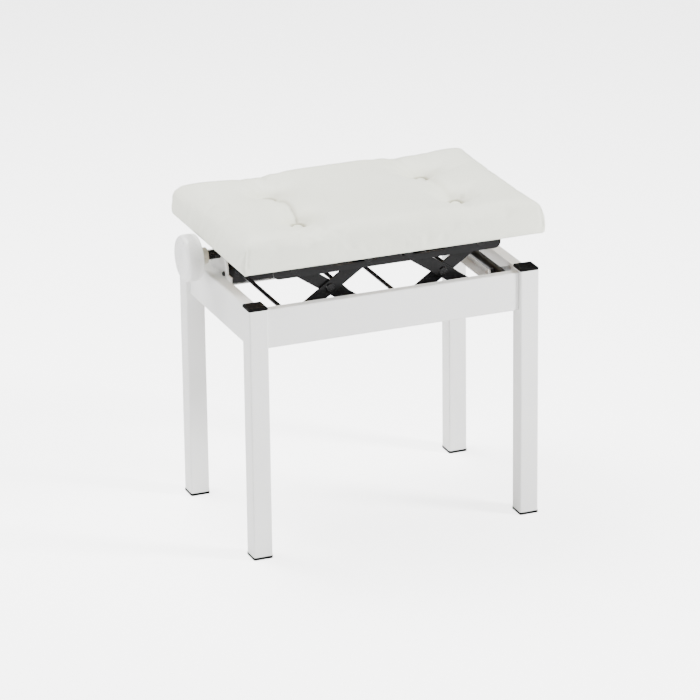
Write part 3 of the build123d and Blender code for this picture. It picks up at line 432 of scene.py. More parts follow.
# ----------------------------------------------------------------------
# The fasteners: bolts, rivet nuts, spacers and the drive nut in bright zinc plate, and the
# clips, tube nuts and screws of the lift in black zinc plate.
ZINC_BRIGHT = (0.60, 0.61, 0.62, 1.0)
ZINC_DULL = (0.47, 0.48, 0.50, 1.0)
BLACK_ZINC = (0.012, 0.012, 0.014, 1.0)
BLACK_ZINC_WORN = (0.026, 0.026, 0.030, 1.0)
bright_zinc = coated("bright_zinc_plate", ZINC_BRIGHT, ZINC_DULL, patch=120.0,
                     roughness=(0.22, 0.38), peel=2200.0, peel_depth=0.00002, Metallic=1.0)
black_zinc = coated("black_zinc_plate", BLACK_ZINC, BLACK_ZINC_WORN, patch=140.0,
                    roughness=(0.25, 0.40), peel=2200.0, peel_depth=0.00002, Metallic=0.8)
dress_nodes(["apron_bolts", "rivet_nuts", "tube_spacers", "drive_nut", "screw_collars"],
            bright_zinc)
dress_nodes(["tube_nuts", "rod_clips", "bracket_bolt", "rail_screws", "plate_screws"],
            black_zinc)

# ----------------------------------------------------------------------
# The nylon bushes: natural ivory nylon, one that the knob's shaft turns in and four that slide
# in the rail slots. They are slightly waxy.
NYLON_IVORY = (0.500, 0.475, 0.385, 1.0)
NYLON_CREAM = (0.560, 0.535, 0.450, 1.0)
ivory_nylon = coated("ivory_nylon", NYLON_IVORY, NYLON_CREAM, patch=60.0,
                     roughness=(0.36, 0.48), peel=1200.0, peel_depth=0.00003,
                     Specular_IOR_Level=0.45, Subsurface_Weight=0.05)
dress_nodes(["knob_bush", "left_slider_bushes", "right_slider_bushes"], ivory_nylon)

# ----------------------------------------------------------------------
# The hand knob: a white ABS moulding turned by its finely ribbed rim. Its face is a wide
# smooth ring around a shallow bowl, and its back is hollowed around a central boss.
KNOB_WHITE = (0.840, 0.840, 0.828, 1.0)
KNOB_SHADE = (0.810, 0.810, 0.795, 1.0)
KNOB_STEPS = 160
RIB_COUNT = 96
RIB_WIDTH = 0.0015
RIB_PROUD = 0.0006
RIB_MARGIN = 0.0042
FACE_CORNER = 0.0052
REAR_CORNER = 0.0030
BOWL_RADIUS = 0.0250
BOWL_DEPTH = 0.0034
BOWL_STEPS = 12
BOWL_SLOPE = 0.86
BOSS_RADIUS = 0.0105
HOLLOW_DEPTH = 0.0120
WALL = 0.0028
RIB_SIDES = 6
RIB_POINTS = 5
RIB_TIP = 0.2
CRISP_KNOB = 40.0


def bridge_rings(work, rings):
    """Faces from each ring of vertices to the next; a ring of one vertex is a pole."""
    for first, second in zip(rings, rings[1:]):
        steps = max(len(first), len(second))
        for step in range(steps):
            after = (step + 1) % steps
            corners = [first[step % len(first)], first[after % len(first)],
                       second[after % len(second)], second[step % len(second)]]
            work.faces.new(list(dict.fromkeys(corners)))


def mesh_of(name, work):
    """The mesh of a finished bmesh."""
    mesh = bpy.data.meshes.new(name)
    work.to_mesh(mesh)
    work.free()
    return mesh


def turned(name, profile, centre, steps):
    """A closed shape turned about a line along X; the profile lists (x, radius) pairs."""
    work = bmesh.new()
    rings = []
    for along, radius in profile:
        ring = []
        for step in range(steps if radius > 0.0 else 1):
            angle = 2.0 * math.pi * step / steps
            ring.append(work.verts.new((along, centre.y + radius * math.cos(angle),
                                        centre.z + radius * math.sin(angle))))
        rings.append(ring)
    bridge_rings(work, rings)
    return finished(name, mesh_of(name, work))


def round_corner(centre_x, centre_r, radius, start, end, steps=6):
    """Points along a rounded corner of a turned profile, between two angles in degrees."""
    points = []
    for step in range(steps + 1):
        angle = math.radians(start + (end - start) * step / steps)
        points.append((centre_x + radius * math.cos(angle),
                       centre_r + radius * math.sin(angle)))
    return points


knob_low, knob_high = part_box("knob")
knob_centre = (knob_low + knob_high) / 2.0
knob_radius = (knob_high.y - knob_low.y) / 2.0 - RIB_PROUD
face_x = knob_low.x
rear_x = knob_high.x
hollow_x = rear_x - HOLLOW_DEPTH
hollow_r = knob_radius - WALL
knob_profile = [(face_x + BOWL_DEPTH, 0.0)]
for step in range(1, BOWL_STEPS + 1):
    share = step / BOWL_STEPS
    bowl_rise = BOWL_DEPTH * (1.0 - share * share * (3.0 - 2.0 * share) * BOWL_SLOPE)
    knob_profile.append((face_x + bowl_rise, BOWL_RADIUS * share))
knob_profile.append((face_x + 0.00018, BOWL_RADIUS + 0.0006))
knob_profile.append((face_x, BOWL_RADIUS + 0.0014))
knob_profile += round_corner(face_x + FACE_CORNER, knob_radius - FACE_CORNER, FACE_CORNER,
                             180.0, 90.0)
knob_profile += round_corner(rear_x - REAR_CORNER, knob_radius - REAR_CORNER, REAR_CORNER,
                             90.0, 0.0)
knob_profile += [(rear_x, hollow_r - 0.0009), (rear_x - 0.0006, hollow_r),
                 (hollow_x + 0.0030, hollow_r - 0.0006), (hollow_x, hollow_r - 0.0040),
                 (hollow_x, BOSS_RADIUS + 0.0030), (hollow_x + 0.0024, BOSS_RADIUS + 0.0004),
                 (rear_x - 0.0006, BOSS_RADIUS), (rear_x, BOSS_RADIUS - 0.0008),
                 (rear_x, 0.0)]
knob_plastic = coated("white_moulded_knob", KNOB_WHITE, KNOB_SHADE, patch=22.0,
                      roughness=(0.26, 0.34), peel=1500.0, peel_depth=0.00002,
                      Coat_Weight=0.12, Coat_Roughness=0.18)
knob_body = turned("knob_moulding", knob_profile, knob_centre, KNOB_STEPS)
knob_body.data.materials.append(knob_plastic)

rib_tree, entry, result = geometry_tree(
    "knob_ribs", {"Count": 96, "Rim Radius": 0.035, "Rib Length": 0.014, "Rib Width": 0.0014})
rim = output_of(rib_tree, "GeometryNodeCurvePrimitiveCircle",
                {"Resolution": entry["Count"], "Radius": entry["Rim Radius"]})
half_length = worked(rib_tree, "MULTIPLY", entry["Rib Length"], 0.5)
rib_front = output_of(rib_tree, "ShaderNodeCombineXYZ", {"Z": half_length})
rib_rear = output_of(rib_tree, "ShaderNodeCombineXYZ",
                     {"Z": worked(rib_tree, "MULTIPLY", half_length, -1.0)})
rib_line = output_of(rib_tree, "GeometryNodeCurvePrimitiveLine",
                     {"Start": rib_rear, "End": rib_front})
rib_steps = output_of(rib_tree, "GeometryNodeResampleCurve",
                      {"Curve": rib_line, "Count": RIB_POINTS}, mode="COUNT")
along_rib = output_of(rib_tree, "GeometryNodeSplineParameter", {})
from_middle = worked(rib_tree, "ABSOLUTE", worked(rib_tree, "SUBTRACT", along_rib, 0.5), 0.0)
rib_taper = spread(rib_tree, from_middle, 1.0, RIB_TIP, 0.38, 0.5)
rib_shaped = output_of(rib_tree, "GeometryNodeSetCurveRadius",
                       {"Curve": rib_steps, "Radius": rib_taper})
rib_body = swept(rib_tree, rib_shaped, RIB_SIDES,
                 worked(rib_tree, "MULTIPLY", entry["Rib Width"], 0.5))
rib_tree.links.new(rib_taper, rib_body.inputs["Scale"])
ribs_round = output_of(rib_tree, "GeometryNodeInstanceOnPoints",
                       {"Points": rim, "Instance": rib_body.outputs[0]})
close_tree(rib_tree, entry, result, ribs_round)
rib_length = (rear_x - face_x) - 2.0 * RIB_MARGIN
knob_ribs = grown("knob_ribs", rib_tree,
                  {"Count": RIB_COUNT, "Rim Radius": knob_radius - RIB_WIDTH / 2.0 + RIB_PROUD,
                   "Rib Length": rib_length, "Rib Width": RIB_WIDTH, "Material": knob_plastic},
                  [(0.0, 0.0, 0.0)])
axis_to_x = Matrix.Rotation(math.radians(90.0), 4, "Y")
knob_ribs.data.transform(Matrix.Translation(knob_centre) @ axis_to_x)
for knob_piece in (knob_body, knob_ribs):
    knob_piece.data.set_sharp_from_angle(angle=math.radians(CRISP_KNOB))
    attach(knob_piece, "hand_screw")
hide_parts("knob")

# ----------------------------------------------------------------------
# The lead screw: a zinc plated rod under the seat with a rolled thread, turned by the knob. The
# length beside the knob is left plain.
THREAD_PITCH = 0.003
THREAD_PROUD = 0.0009
THREAD_SIDES = 6
THREAD_LEAD_IN = 0.002
TURN_STEPS = 24
PLAIN_LENGTH = 0.066
ROD_STEPS = 48
ROD_CHAMFER = 0.0006
CRISP_SCREW = 50.0
rod_low, rod_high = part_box("lead_screw")
rod_centre = (rod_low + rod_high) / 2.0
rod_radius = (rod_high.y - rod_low.y) / 2.0
core_radius = rod_radius - THREAD_PROUD
thread_start = rod_low.x + PLAIN_LENGTH
rod_profile = [(rod_low.x, 0.0), (rod_low.x, rod_radius - ROD_CHAMFER),
               (rod_low.x + ROD_CHAMFER, rod_radius), (thread_start - 0.001, rod_radius),
               (thread_start, core_radius), (rod_high.x - 0.001, core_radius),
               (rod_high.x, core_radius - 0.001), (rod_high.x, 0.0)]
lead_rod = turned("lead_screw_rod", rod_profile, rod_centre, ROD_STEPS)
lead_rod.data.materials.append(bright_zinc)

thread_tree, entry, result = geometry_tree(
    "rolled_thread", {"Turns": 60.0, "Radius": 0.004, "Length": 0.18, "Ridge": 0.0009})
helix = output_of(thread_tree, "GeometryNodeCurveSpiral",
                  {"Resolution": TURN_STEPS, "Rotations": entry["Turns"],
                   "Start Radius": entry["Radius"], "End Radius": entry["Radius"],
                   "Height": entry["Length"]})
ridge = swept(thread_tree, helix, THREAD_SIDES, entry["Ridge"])
close_tree(thread_tree, entry, result, ridge.outputs[0])
thread_length = rod_high.x - thread_start - 2.0 * THREAD_LEAD_IN
thread_ridge = grown("lead_screw_thread", thread_tree,
                     {"Turns": thread_length / THREAD_PITCH, "Radius": core_radius,
                      "Length": thread_length, "Ridge": THREAD_PROUD,
                      "Material": bright_zinc}, [(0.0, 0.0, 0.0)])
thread_place = Vector((thread_start + THREAD_LEAD_IN, rod_centre.y, rod_centre.z))
thread_ridge.data.transform(Matrix.Translation(thread_place) @ axis_to_x)
for screw_piece in (lead_rod, thread_ridge):
    screw_piece.data.set_sharp_from_angle(angle=math.radians(CRISP_SCREW))
    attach(screw_piece, "hand_screw")
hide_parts("lead_screw")

# ----------------------------------------------------------------------
# The seat board: twelve millimetres of birch plywood under the pad, with nine plies showing at
# its edge and a light, straight grain on its face.
PLY_PALE = (0.560, 0.400, 0.235, 1.0)
PLY_DARK = (0.400, 0.262, 0.140, 1.0)
PLY_COUNT = 9.0
PLY_RELIEF = 0.00015
GRAIN_STRETCH = (6.0, 130.0, 130.0)
board_low, board_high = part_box("seat_board")
birch_ply, ply, ply_shader = new_finish("birch_plywood", {})
ply_place = object_place(ply)
grain_place = output_of(ply, "ShaderNodeMapping", {"Vector": ply_place, "Scale": GRAIN_STRETCH})
grain = clouds(ply, grain_place, 1.0, 5.0, 0.6)
ply_z = add_node(ply, "ShaderNodeSeparateXYZ", {0: ply_place}).outputs["Z"]
ply_layer = worked(ply, "MULTIPLY", worked(ply, "SUBTRACT", ply_z, board_low.z),
                   PLY_COUNT * math.pi / (board_high.z - board_low.z))
ply_step = spread(ply, worked(ply, "SINE", ply_layer, 0.0), 0.0, 0.45, -0.2, 0.2)
ply_mask = worked(ply, "MAXIMUM", spread(ply, grain, 0.0, 0.75), ply_step)
ply.links.new(two_colours(ply, ply_mask, PLY_PALE, PLY_DARK), ply_shader.inputs["Base Color"])
ply.links.new(spread(ply, grain, 0.55, 0.75), ply_shader.inputs["Roughness"])
add_relief(ply, ply_shader, grain, PLY_RELIEF)
dress_nodes(["seat_board"], birch_ply)

# ----------------------------------------------------------------------
# The pad: foam on the board under one sheet of off-white leatherette, pulled down over the
# sides and tufted in four places. The cloth simulation gives the swell between the tufts;
# the folds that the tufting pulls and the pleats at the corners are laid in after it. Painted
# shade darkens the folds, the wrinkles and the hollows round the tufts.
HIDE_WHITE = (0.845, 0.862, 0.750, 1.0)
HIDE_WARM = (0.815, 0.828, 0.705, 1.0)
# The next colour is painted shade, for the grooves between the grain's pebbles.
HIDE_GRAIN_SHADE = (0.680, 0.675, 0.610, 1.0)
# The next colour is painted shade, for the folds, wrinkles and hollows round the tufts.
HIDE_PAINTED_SHADE = (0.360, 0.335, 0.225, 1.0)
HIDE_GRAIN = 780.0
HIDE_GRAIN_DEPTH = 0.00016
HIDE_PATCHES = 9.0
WARP_SCALE = 240.0
WARP_SHIFT = 0.0016
PEBBLE_EDGE = 0.22
GROOVE_EDGE = 0.06
GROOVE_SHADE_SHARE = 0.10
SOFT_SCALE = 95.0
SOFT_SHARE = 0.8
HIDE_ROUGHNESS = (0.36, 0.46)
leatherette, hide, hide_shader = new_finish(
    "off_white_leatherette", {"Specular IOR Level": 0.5, "Sheen Weight": 0.05})
hide_place = object_place(hide)
warp_shift = worked(hide, "MULTIPLY", clouds(hide, hide_place, WARP_SCALE), WARP_SHIFT)
warped = output_of(hide, "ShaderNodeVectorMath", {0: hide_place, 1: warp_shift}, operation="ADD")
pebbles = output_of(hide, "ShaderNodeTexVoronoi", {"Vector": warped, "Scale": HIDE_GRAIN},
                    feature="DISTANCE_TO_EDGE")
pebble_height = spread(hide, pebbles, 0.0, 1.0, 0.0, PEBBLE_EDGE)
soft_height = worked(hide, "MULTIPLY", clouds(hide, hide_place, SOFT_SCALE, 3.0), SOFT_SHARE)
hide_height = worked(hide, "ADD", pebble_height, soft_height)
add_relief(hide, hide_shader, hide_height, HIDE_GRAIN_DEPTH)
hide_drift = drift_colour(hide, hide_shader, hide_place, HIDE_WHITE, HIDE_WARM, HIDE_PATCHES,
                          HIDE_ROUGHNESS)
# Painted shade: the grooves between the grain's pebbles are darkened a little.
grain_groove_shade = spread(hide, pebbles, GROOVE_SHADE_SHARE, 0.0, 0.0, GROOVE_EDGE)
hide_colour = two_colours(hide, grain_groove_shade, hide_drift, HIDE_GRAIN_SHADE)
# Painted shade from the pad's stored marks darkens its folds, wrinkles and the hollows round the
# tufts.
painted_shade_mask = add_node(hide, "ShaderNodeAttribute", {}, attribute_name="painted_shade").outputs["Fac"]
hide.links.new(two_colours(hide, painted_shade_mask, hide_colour, HIDE_PAINTED_SHADE),
               hide_shader.inputs["Base Color"])

pad_low, pad_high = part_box("cushion")
button_low, button_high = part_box("tuft_buttons")
PAD_HALF_X = pad_high.x + 0.0022
PAD_HALF_Y = pad_high.y + 0.0018
PAD_CORNER = 0.0030
PAD_FOOT = pad_low.z
PAD_TOP = pad_high.z - 0.0050
POCKET_GAP = 0.0010
HEM_THICK = 0.0009
POCKET_TOP = board_high.z
VOXEL = 0.0040
SWELL_CAP = 0.0050
SIDE_SWELL_CAP = 0.0012
TUFTS = [(-0.1230, -0.0690), (-0.1210, 0.0570), (0.1340, -0.0650), (0.1290, 0.0580)]
TUFT_FLOOR = button_low.z - 0.0006
PIT_RADIUS = 0.0165
POCKET_CORNER = 0.004
WAIST = 0.001
# Each ring of the pad's shoulder: how far in from the widest, and how far below the top.
SHOULDER = [(0.0006, 0.0320), (0.0018, 0.0200), (0.0032, 0.0130), (0.0052, 0.0080),
            (0.0084, 0.0040), (0.0130, 0.0015), (0.0190, 0.0003), (0.0280, 0.0000)]


def rounded_ring(work, half_x, half_y, corner, height, steps=8):
    """A rounded rectangle of vertices at a height, from the front right corner round."""
    ring = []
    for turn, sign_x, sign_y in ((-90.0, 1, -1), (0.0, 1, 1), (90.0, -1, 1), (180.0, -1, -1)):
        for step in range(steps + 1):
            angle = math.radians(turn + 90.0 * step / steps)
            ring.append(work.verts.new((sign_x * (half_x - corner) + corner * math.cos(angle),
                                        sign_y * (half_y - corner) + corner * math.sin(angle),
                                        height)))
    return ring


pad_work = bmesh.new()
pocket_x = board_high.x + POCKET_GAP
pocket_y = board_high.y + POCKET_GAP
hem_z = PAD_FOOT - HEM_THICK
pad_rings = [rounded_ring(pad_work, pocket_x, pocket_y, POCKET_CORNER, POCKET_TOP),
             rounded_ring(pad_work, pocket_x, pocket_y, POCKET_CORNER, hem_z),
             rounded_ring(pad_work, PAD_HALF_X - WAIST, PAD_HALF_Y - WAIST, PAD_CORNER, hem_z),
             rounded_ring(pad_work, PAD_HALF_X, PAD_HALF_Y, PAD_CORNER, PAD_FOOT)]
for inset, drop in SHOULDER:
    pad_rings.append(rounded_ring(pad_work, PAD_HALF_X - inset, PAD_HALF_Y - inset,
                                  PAD_CORNER + inset * 0.25, PAD_TOP - drop))
bridge_rings(pad_work, pad_rings)
pad_work.faces.new(list(reversed(pad_rings[0])))
pad_work.faces.new(pad_rings[-1])
bmesh.ops.recalc_face_normals(pad_work, faces=pad_work.faces)
pad_blank = in_scene("pad_blank", mesh_of("pad_blank", pad_work))
voxels = pad_blank.modifiers.new("voxels", "REMESH")
voxels.mode = "VOXEL"
voxels.voxel_size = VOXEL
pad_cloth = in_scene("pad_cloth", baked_mesh(pad_blank))


def positions(mesh):
    """A mesh's vertices as an array of places."""
    places = np.empty(len(mesh.vertices) * 3)
    mesh.vertices.foreach_get("co", places)
    return places.reshape(-1, 3)


def put_positions(mesh, places):
    """Writes an array of places back to a mesh."""
    mesh.vertices.foreach_set("co", places.ravel())
    mesh.update()


def eased(value, low, high):
    """A smooth step from 0 at low to 1 at high."""
    share = np.clip((value - low) / (high - low), 0.0, 1.0)
    return share * share * (3.0 - 2.0 * share)


def bell(distance, width):
    """1 at no distance, fading away past the width."""
    return np.exp(-(distance / width) ** 2)


start = positions(pad_cloth.data)
on_top = eased(start[:, 2], PAD_TOP - 0.012, PAD_TOP - 0.002)
for tuft_x, tuft_y in TUFTS:
    reach = np.hypot(start[:, 0] - tuft_x, start[:, 1] - tuft_y)
    start[:, 2] -= (PAD_TOP - TUFT_FLOOR) * bell(reach, PIT_RADIUS) * on_top
put_positions(pad_cloth.data, start)

HELD_TUFT = 0.0080
HELD_ROOM = 0.004
HELD_SKIN = 0.002
held = pad_cloth.vertex_groups.new(name="held")
for index, place in enumerate(start):
    near_tuft = min(math.hypot(place[0] - x, place[1] - y) for x, y in TUFTS)
    in_pit = near_tuft < HELD_TUFT and place[2] > POCKET_TOP + HELD_ROOM
    over_board = abs(place[0]) < pocket_x + HELD_SKIN and abs(place[1]) < pocket_y + HELD_SKIN
    on_board = over_board and place[2] < POCKET_TOP + HELD_SKIN
    if place[2] < PAD_FOOT + HELD_ROOM or in_pit or on_board:
        held.add([index], 1.0, "REPLACE")

CLOTH_FRAMES = 20
CLOTH = {"quality": 6, "mass": 0.30, "tension_stiffness": 22.0, "compression_stiffness": 12.0,
         "shear_stiffness": 6.0, "bending_stiffness": 0.35, "air_damping": 2.0,
         "use_pressure": True, "uniform_pressure_force": 4.0, "shrink_min": -0.020,
         "vertex_group_mass": "held", "pin_stiffness": 1.0}
fabric = pad_cloth.modifiers.new("fabric", "CLOTH")
for label, value in CLOTH.items():
    setattr(fabric.settings, label, value)
fabric.settings.effector_weights.gravity = 0.0
fabric.point_cache.frame_start = 1
fabric.point_cache.frame_end = CLOTH_FRAMES
for frame_number in range(1, CLOTH_FRAMES + 1):
    bpy.context.scene.frame_set(frame_number)
pad_cloth = in_scene("pad_cloth", baked_mesh(pad_cloth))
bpy.context.scene.frame_set(1)
moved = positions(pad_cloth.data) - start
caps = np.array((SIDE_SWELL_CAP, SIDE_SWELL_CAP, SWELL_CAP))
start = start + caps * np.tanh(moved / caps)
put_positions(pad_cloth.data, start)

smooth_pass = pad_cloth.modifiers.new("smooth_pass", "SMOOTH")
smooth_pass.factor = 0.5
smooth_pass.iterations = 1
finer = pad_cloth.modifiers.new("finer", "SUBSURF")
finer.levels = 1
finer.render_levels = 1
pad_cover = in_scene("cushion_cover", baked_mesh(pad_cloth))

CROWN_RISE = 0.0014
CROWN_HALF_LENGTH = 0.080
CORNER_RISE = 0.0012
CORNER_REACH = 0.030
# The dishes round a tuft: depth and radius. One more dish lies to its right, with painted shade
# laid over it.
DISHES = [(0.0034, 0.042), (0.0030, 0.022)]
SHADED_DEPTH = 0.0022
SHADED_RADIUS = 0.016
SHADE_RADIUS = 0.019
SHADE_MARK = 0.34
EDGE_DIP = 0.0020
EDGE_DIP_WIDTH = 0.038
skin = positions(pad_cover.data)
x, y, z = skin[:, 0].copy(), skin[:, 1].copy(), skin[:, 2].copy()
top = eased(z, PAD_TOP - 0.014, PAD_TOP - 0.004)
edge_gap = np.minimum(PAD_HALF_X - np.abs(x), PAD_HALF_Y - np.abs(y))
inner = eased(edge_gap, 0.006, 0.040)
lift = CROWN_RISE * inner * bell(x, CROWN_HALF_LENGTH)
painted_shade = np.zeros_like(z)
corner_reach = np.hypot(np.abs(x) - PAD_HALF_X + CORNER_REACH,
                        np.abs(y) - PAD_HALF_Y + CORNER_REACH)
lift += CORNER_RISE * bell(corner_reach, CORNER_REACH)
for tuft_x, tuft_y in TUFTS:
    reach = np.hypot(x - tuft_x, y - tuft_y)
    for depth, radius in DISHES:
        lift -= depth * bell(reach, radius)
    # A dish to the right of the tuft, darkened with painted shade.
    right_reach = np.hypot(x - tuft_x - 0.010, y - tuft_y - 0.004)
    lift -= SHADED_DEPTH * bell(right_reach, SHADED_RADIUS)
    painted_shade += SHADE_MARK * bell(right_reach, SHADE_RADIUS)
    toward_edge = eased(np.sign(tuft_y) * (y - tuft_y), 0.0, 0.030)
    lift -= EDGE_DIP * bell(np.abs(x - tuft_x), EDGE_DIP_WIDTH) * toward_edge


def run_between(first, second, bow):
    """How far right of a bowed line between two tufts each vertex lies, and where it runs."""
    share = (y - first[1]) / (second[1] - first[1])
    between = np.clip(4.0 * share * (1.0 - share), 0.0, 1.0)
    line_x = first[0] + (second[0] - first[0]) * np.clip(share, 0.0, 1.0) + bow * between
    inside = eased(share, -0.02, 0.12) * (1.0 - eased(share, 0.88, 1.02))
    return x - line_x, inside


def lopsided(off, left_width, right_width):
    """A groove across a line that is as wide as given on each side of it."""
    return (np.where(off < 0.0, bell(off, left_width), 0.0)
            + np.where(off >= 0.0, bell(off, right_width), 0.0))


# The fold between the left tufts falls steeply on its right; the right pair has a shallow valley.
# Both are darkened with painted shade: a dark line along the fold, a wider shade on its right
# fall, and a band along the valley.
FOLD_BOW = 0.0085
FOLD_DEPTH = 0.0042
FOLD_RIDGE = 0.0014
FOLD_FALL = 0.0016
FOLD_LINE_SHADE = 0.34
FOLD_SHADE = 0.16
VALLEY_BOW = -0.004
VALLEY_DEPTH = 0.0028
VALLEY_SHADE = 0.16
off_fold, fold_run = run_between(TUFTS[0], TUFTS[1], FOLD_BOW)
lift -= FOLD_DEPTH * lopsided(off_fold, 0.0100, 0.0030) * fold_run
lift += FOLD_RIDGE * bell(off_fold + 0.0170, 0.0090) * fold_run
right_fall = np.where(off_fold > 0.0, np.exp(-off_fold / 0.018), 0.0)
lift -= FOLD_FALL * right_fall * fold_run
painted_shade += FOLD_LINE_SHADE * bell(off_fold - 0.0012, 0.0024) * fold_run
painted_shade += FOLD_SHADE * right_fall * fold_run
off_valley, valley_run = run_between(TUFTS[2], TUFTS[3], VALLEY_BOW)
lift -= VALLEY_DEPTH * lopsided(off_valley, 0.0150, 0.0080) * valley_run
painted_shade += VALLEY_SHADE * bell(off_valley - 0.003, 0.0050) * valley_run

# The pulled wrinkles, each darkened along its groove with painted shade: the tuft's number, then
# direction in degrees, length and depth.
STRAIN_SHARE = 1.7
STRAIN_SHADE = 45.0
STRAIN_RIDGE = 0.6
STRAINS = [(1, 160.0, 0.050, 0.0013), (1, 136.0, 0.056, 0.0016), (1, 112.0, 0.050, 0.0015),
           (1, 84.0, 0.036, 0.0008), (1, 30.0, 0.030, 0.0008), (1, 350.0, 0.026, 0.0008),
           (0, 205.0, 0.036, 0.0010), (0, 240.0, 0.036, 0.0010), (0, 275.0, 0.034, 0.0010),
           (0, 20.0, 0.026, 0.0008), (0, 320.0, 0.030, 0.0008), (3, 168.0, 0.040, 0.0012),
           (3, 142.0, 0.050, 0.0014), (3, 118.0, 0.048, 0.0013), (3, 90.0, 0.036, 0.0008),
           (3, 15.0, 0.040, 0.0010), (3, 330.0, 0.030, 0.0008), (2, 200.0, 0.038, 0.0010),
           (2, 240.0, 0.036, 0.0010), (2, 285.0, 0.034, 0.0010), (2, 340.0, 0.040, 0.0010),
           (2, 30.0, 0.034, 0.0010)]
for tuft_number, degrees, length, depth in STRAINS:
    along = (math.cos(math.radians(degrees)), math.sin(math.radians(degrees)))
    local_x = x - TUFTS[tuft_number][0]
    local_y = y - TUFTS[tuft_number][1]
    run = local_x * along[0] + local_y * along[1]
    off = -local_x * along[1] + local_y * along[0]
    width = 0.0020 + 0.09 * np.clip(run, 0.0, 0.06)
    reach_out = eased(run, 0.004, 0.010) * (1.0 - eased(run, length * 0.35, length))
    lift -= STRAIN_SHARE * depth * bell(off, width) * reach_out
    painted_shade += STRAIN_SHADE * depth * bell(off, width) * reach_out
    lift += STRAIN_RIDGE * STRAIN_SHARE * depth * bell(off - 1.7 * width, width) * reach_out
skin[:, 2] += lift * top

PIT_FLOOR_RADIUS = 0.0072
PIT_WALL = 0.0125
PIT_SLOPE = 2.0
PIT_REACH = 0.022
PIT_ROOM = 0.004
RING_RADIUS = 0.0100
RING_WIDTH = 0.0028
RING_SHADE = 0.85
# Each pit is cut down to its button, and a ring of painted shade round it is darkest on its back
# right side.
for tuft_x, tuft_y in TUFTS:
    reach = np.hypot(x - tuft_x, y - tuft_y)
    wall = TUFT_FLOOR + PIT_WALL * eased(reach, PIT_FLOOR_RADIUS, PIT_RADIUS)
    wall = wall + np.clip(reach - PIT_RADIUS, 0.0, 1.0) * PIT_SLOPE
    above_floor = z > TUFT_FLOOR - PIT_ROOM
    in_pit = above_floor & (reach < PIT_REACH)
    skin[in_pit, 2] = np.minimum(skin[in_pit, 2], wall[in_pit])
    shaded_side = 0.35 + 0.65 * eased((x - tuft_x) * 0.8 + (y - tuft_y) * 0.6, -0.006, 0.007)
    painted_shade += RING_SHADE * bell(reach - RING_RADIUS, RING_WIDTH) * shaded_side * above_floor

PLEAT_DEPTH = 0.0016
PLEAT_WIDTH = 0.0016
TUCK_RISE = 0.0006
TUCK_WIDTH = 0.0030
WAVE_DEPTH = 0.0002
RIPPLE_DEPTH = 0.0005
RIPPLE_SCALE = 26.0
FOOT_DRAW = 0.0008
side_band = (eased(z, PAD_FOOT + 0.003, PAD_FOOT + 0.016)
             * (1.0 - eased(z, PAD_TOP - 0.004, PAD_TOP + 0.004)))
for sign_x in (-1, 1):
    for sign_y in (-1, 1):
        from_corner = sign_x * (sign_x * PAD_HALF_X - x)
        on_face = eased(sign_y * y, PAD_HALF_Y - 0.008, PAD_HALF_Y - 0.003)
        off_pleat = from_corner - (0.0065 + 0.004 * eased(z, PAD_FOOT, PAD_TOP))
        pleat = bell(off_pleat, PLEAT_WIDTH) * on_face * side_band
        tuck = bell(off_pleat + 0.0045, TUCK_WIDTH) * on_face * side_band
        skin[:, 1] -= sign_y * PLEAT_DEPTH * pleat
        skin[:, 1] += sign_y * TUCK_RISE * tuck
ripple = np.array([noise.noise(Vector(place) * RIPPLE_SCALE) for place in skin])
side_wave = np.sin(x * 95.0 + 1.3) * 0.5 + np.sin(x * 41.0 + 0.4) * 0.5
face_y = eased(np.abs(y), PAD_HALF_Y - 0.006, PAD_HALF_Y - 0.001)
skin[:, 1] += np.sign(y) * face_y * side_band * WAVE_DEPTH * side_wave
skin[:, 2] += RIPPLE_DEPTH * ripple * top
foot_tuck = FOOT_DRAW * (1.0 - eased(z, PAD_FOOT, PAD_FOOT + 0.010))
for axis, flat, half in ((0, x, PAD_HALF_X), (1, y, PAD_HALF_Y)):
    skin[:, axis] -= np.sign(flat) * foot_tuck * eased(np.abs(flat), half - 0.004, half)
put_positions(pad_cover.data, skin)
# The painted shade marks are kept on the points, for the leatherette to darken with.
painted_shade_layer = pad_cover.data.attributes.new("painted_shade", "FLOAT", "POINT")
painted_shade_layer.data.foreach_set("value", np.clip(painted_shade, 0.0, 1.0).astype(np.float32))
pad_cover.data.shade_smooth()
pad_cover.data.materials.clear()
pad_cover.data.materials.append(leatherette)
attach(pad_cover, "seat")
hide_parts("cushion")

# ----------------------------------------------------------------------
# The tuft buttons: four small shells covered in the same leatherette, drawn down into the pad
# by cords through the board. Each is a low dome with its cover gathered in under the rim.
BUTTON_STEPS = 28
BUTTON_SINK = 0.0040
button_profile = [(0.0, 0.0000), (0.0, 0.0052), (0.0008, 0.0068), (0.0020, 0.0077),
                  (0.0032, 0.0080), (0.0042, 0.0077), (0.0052, 0.0068), (0.0059, 0.0054),
                  (0.0064, 0.0036), (0.0066, 0.0018), (0.0067, 0.0000)]
button_tree, entry, result = geometry_tree("tuft_button_set", {"Button": "Object"})
button_source = add_node(button_tree, "GeometryNodeObjectInfo", {"Object": entry["Button"]})
button_set = output_of(button_tree, "GeometryNodeInstanceOnPoints",
                       {"Points": entry["Geometry"],
                        "Instance": button_source.outputs["Geometry"]})
close_tree(button_tree, entry, result, button_set)
one_button = turned("one_button", button_profile, Vector((0.0, 0.0, 0.0)), BUTTON_STEPS)
one_button.data.transform(Matrix.Rotation(math.radians(-90.0), 4, "Y"))
button_points = [(tuft_x, tuft_y, button_high.z - BUTTON_SINK) for tuft_x, tuft_y in TUFTS]
covered_buttons = grown("covered_buttons", button_tree,
                        {"Button": one_button, "Material": leatherette}, button_points)
bpy.data.objects.remove(one_button)
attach(covered_buttons, "seat")
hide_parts("tuft_buttons")

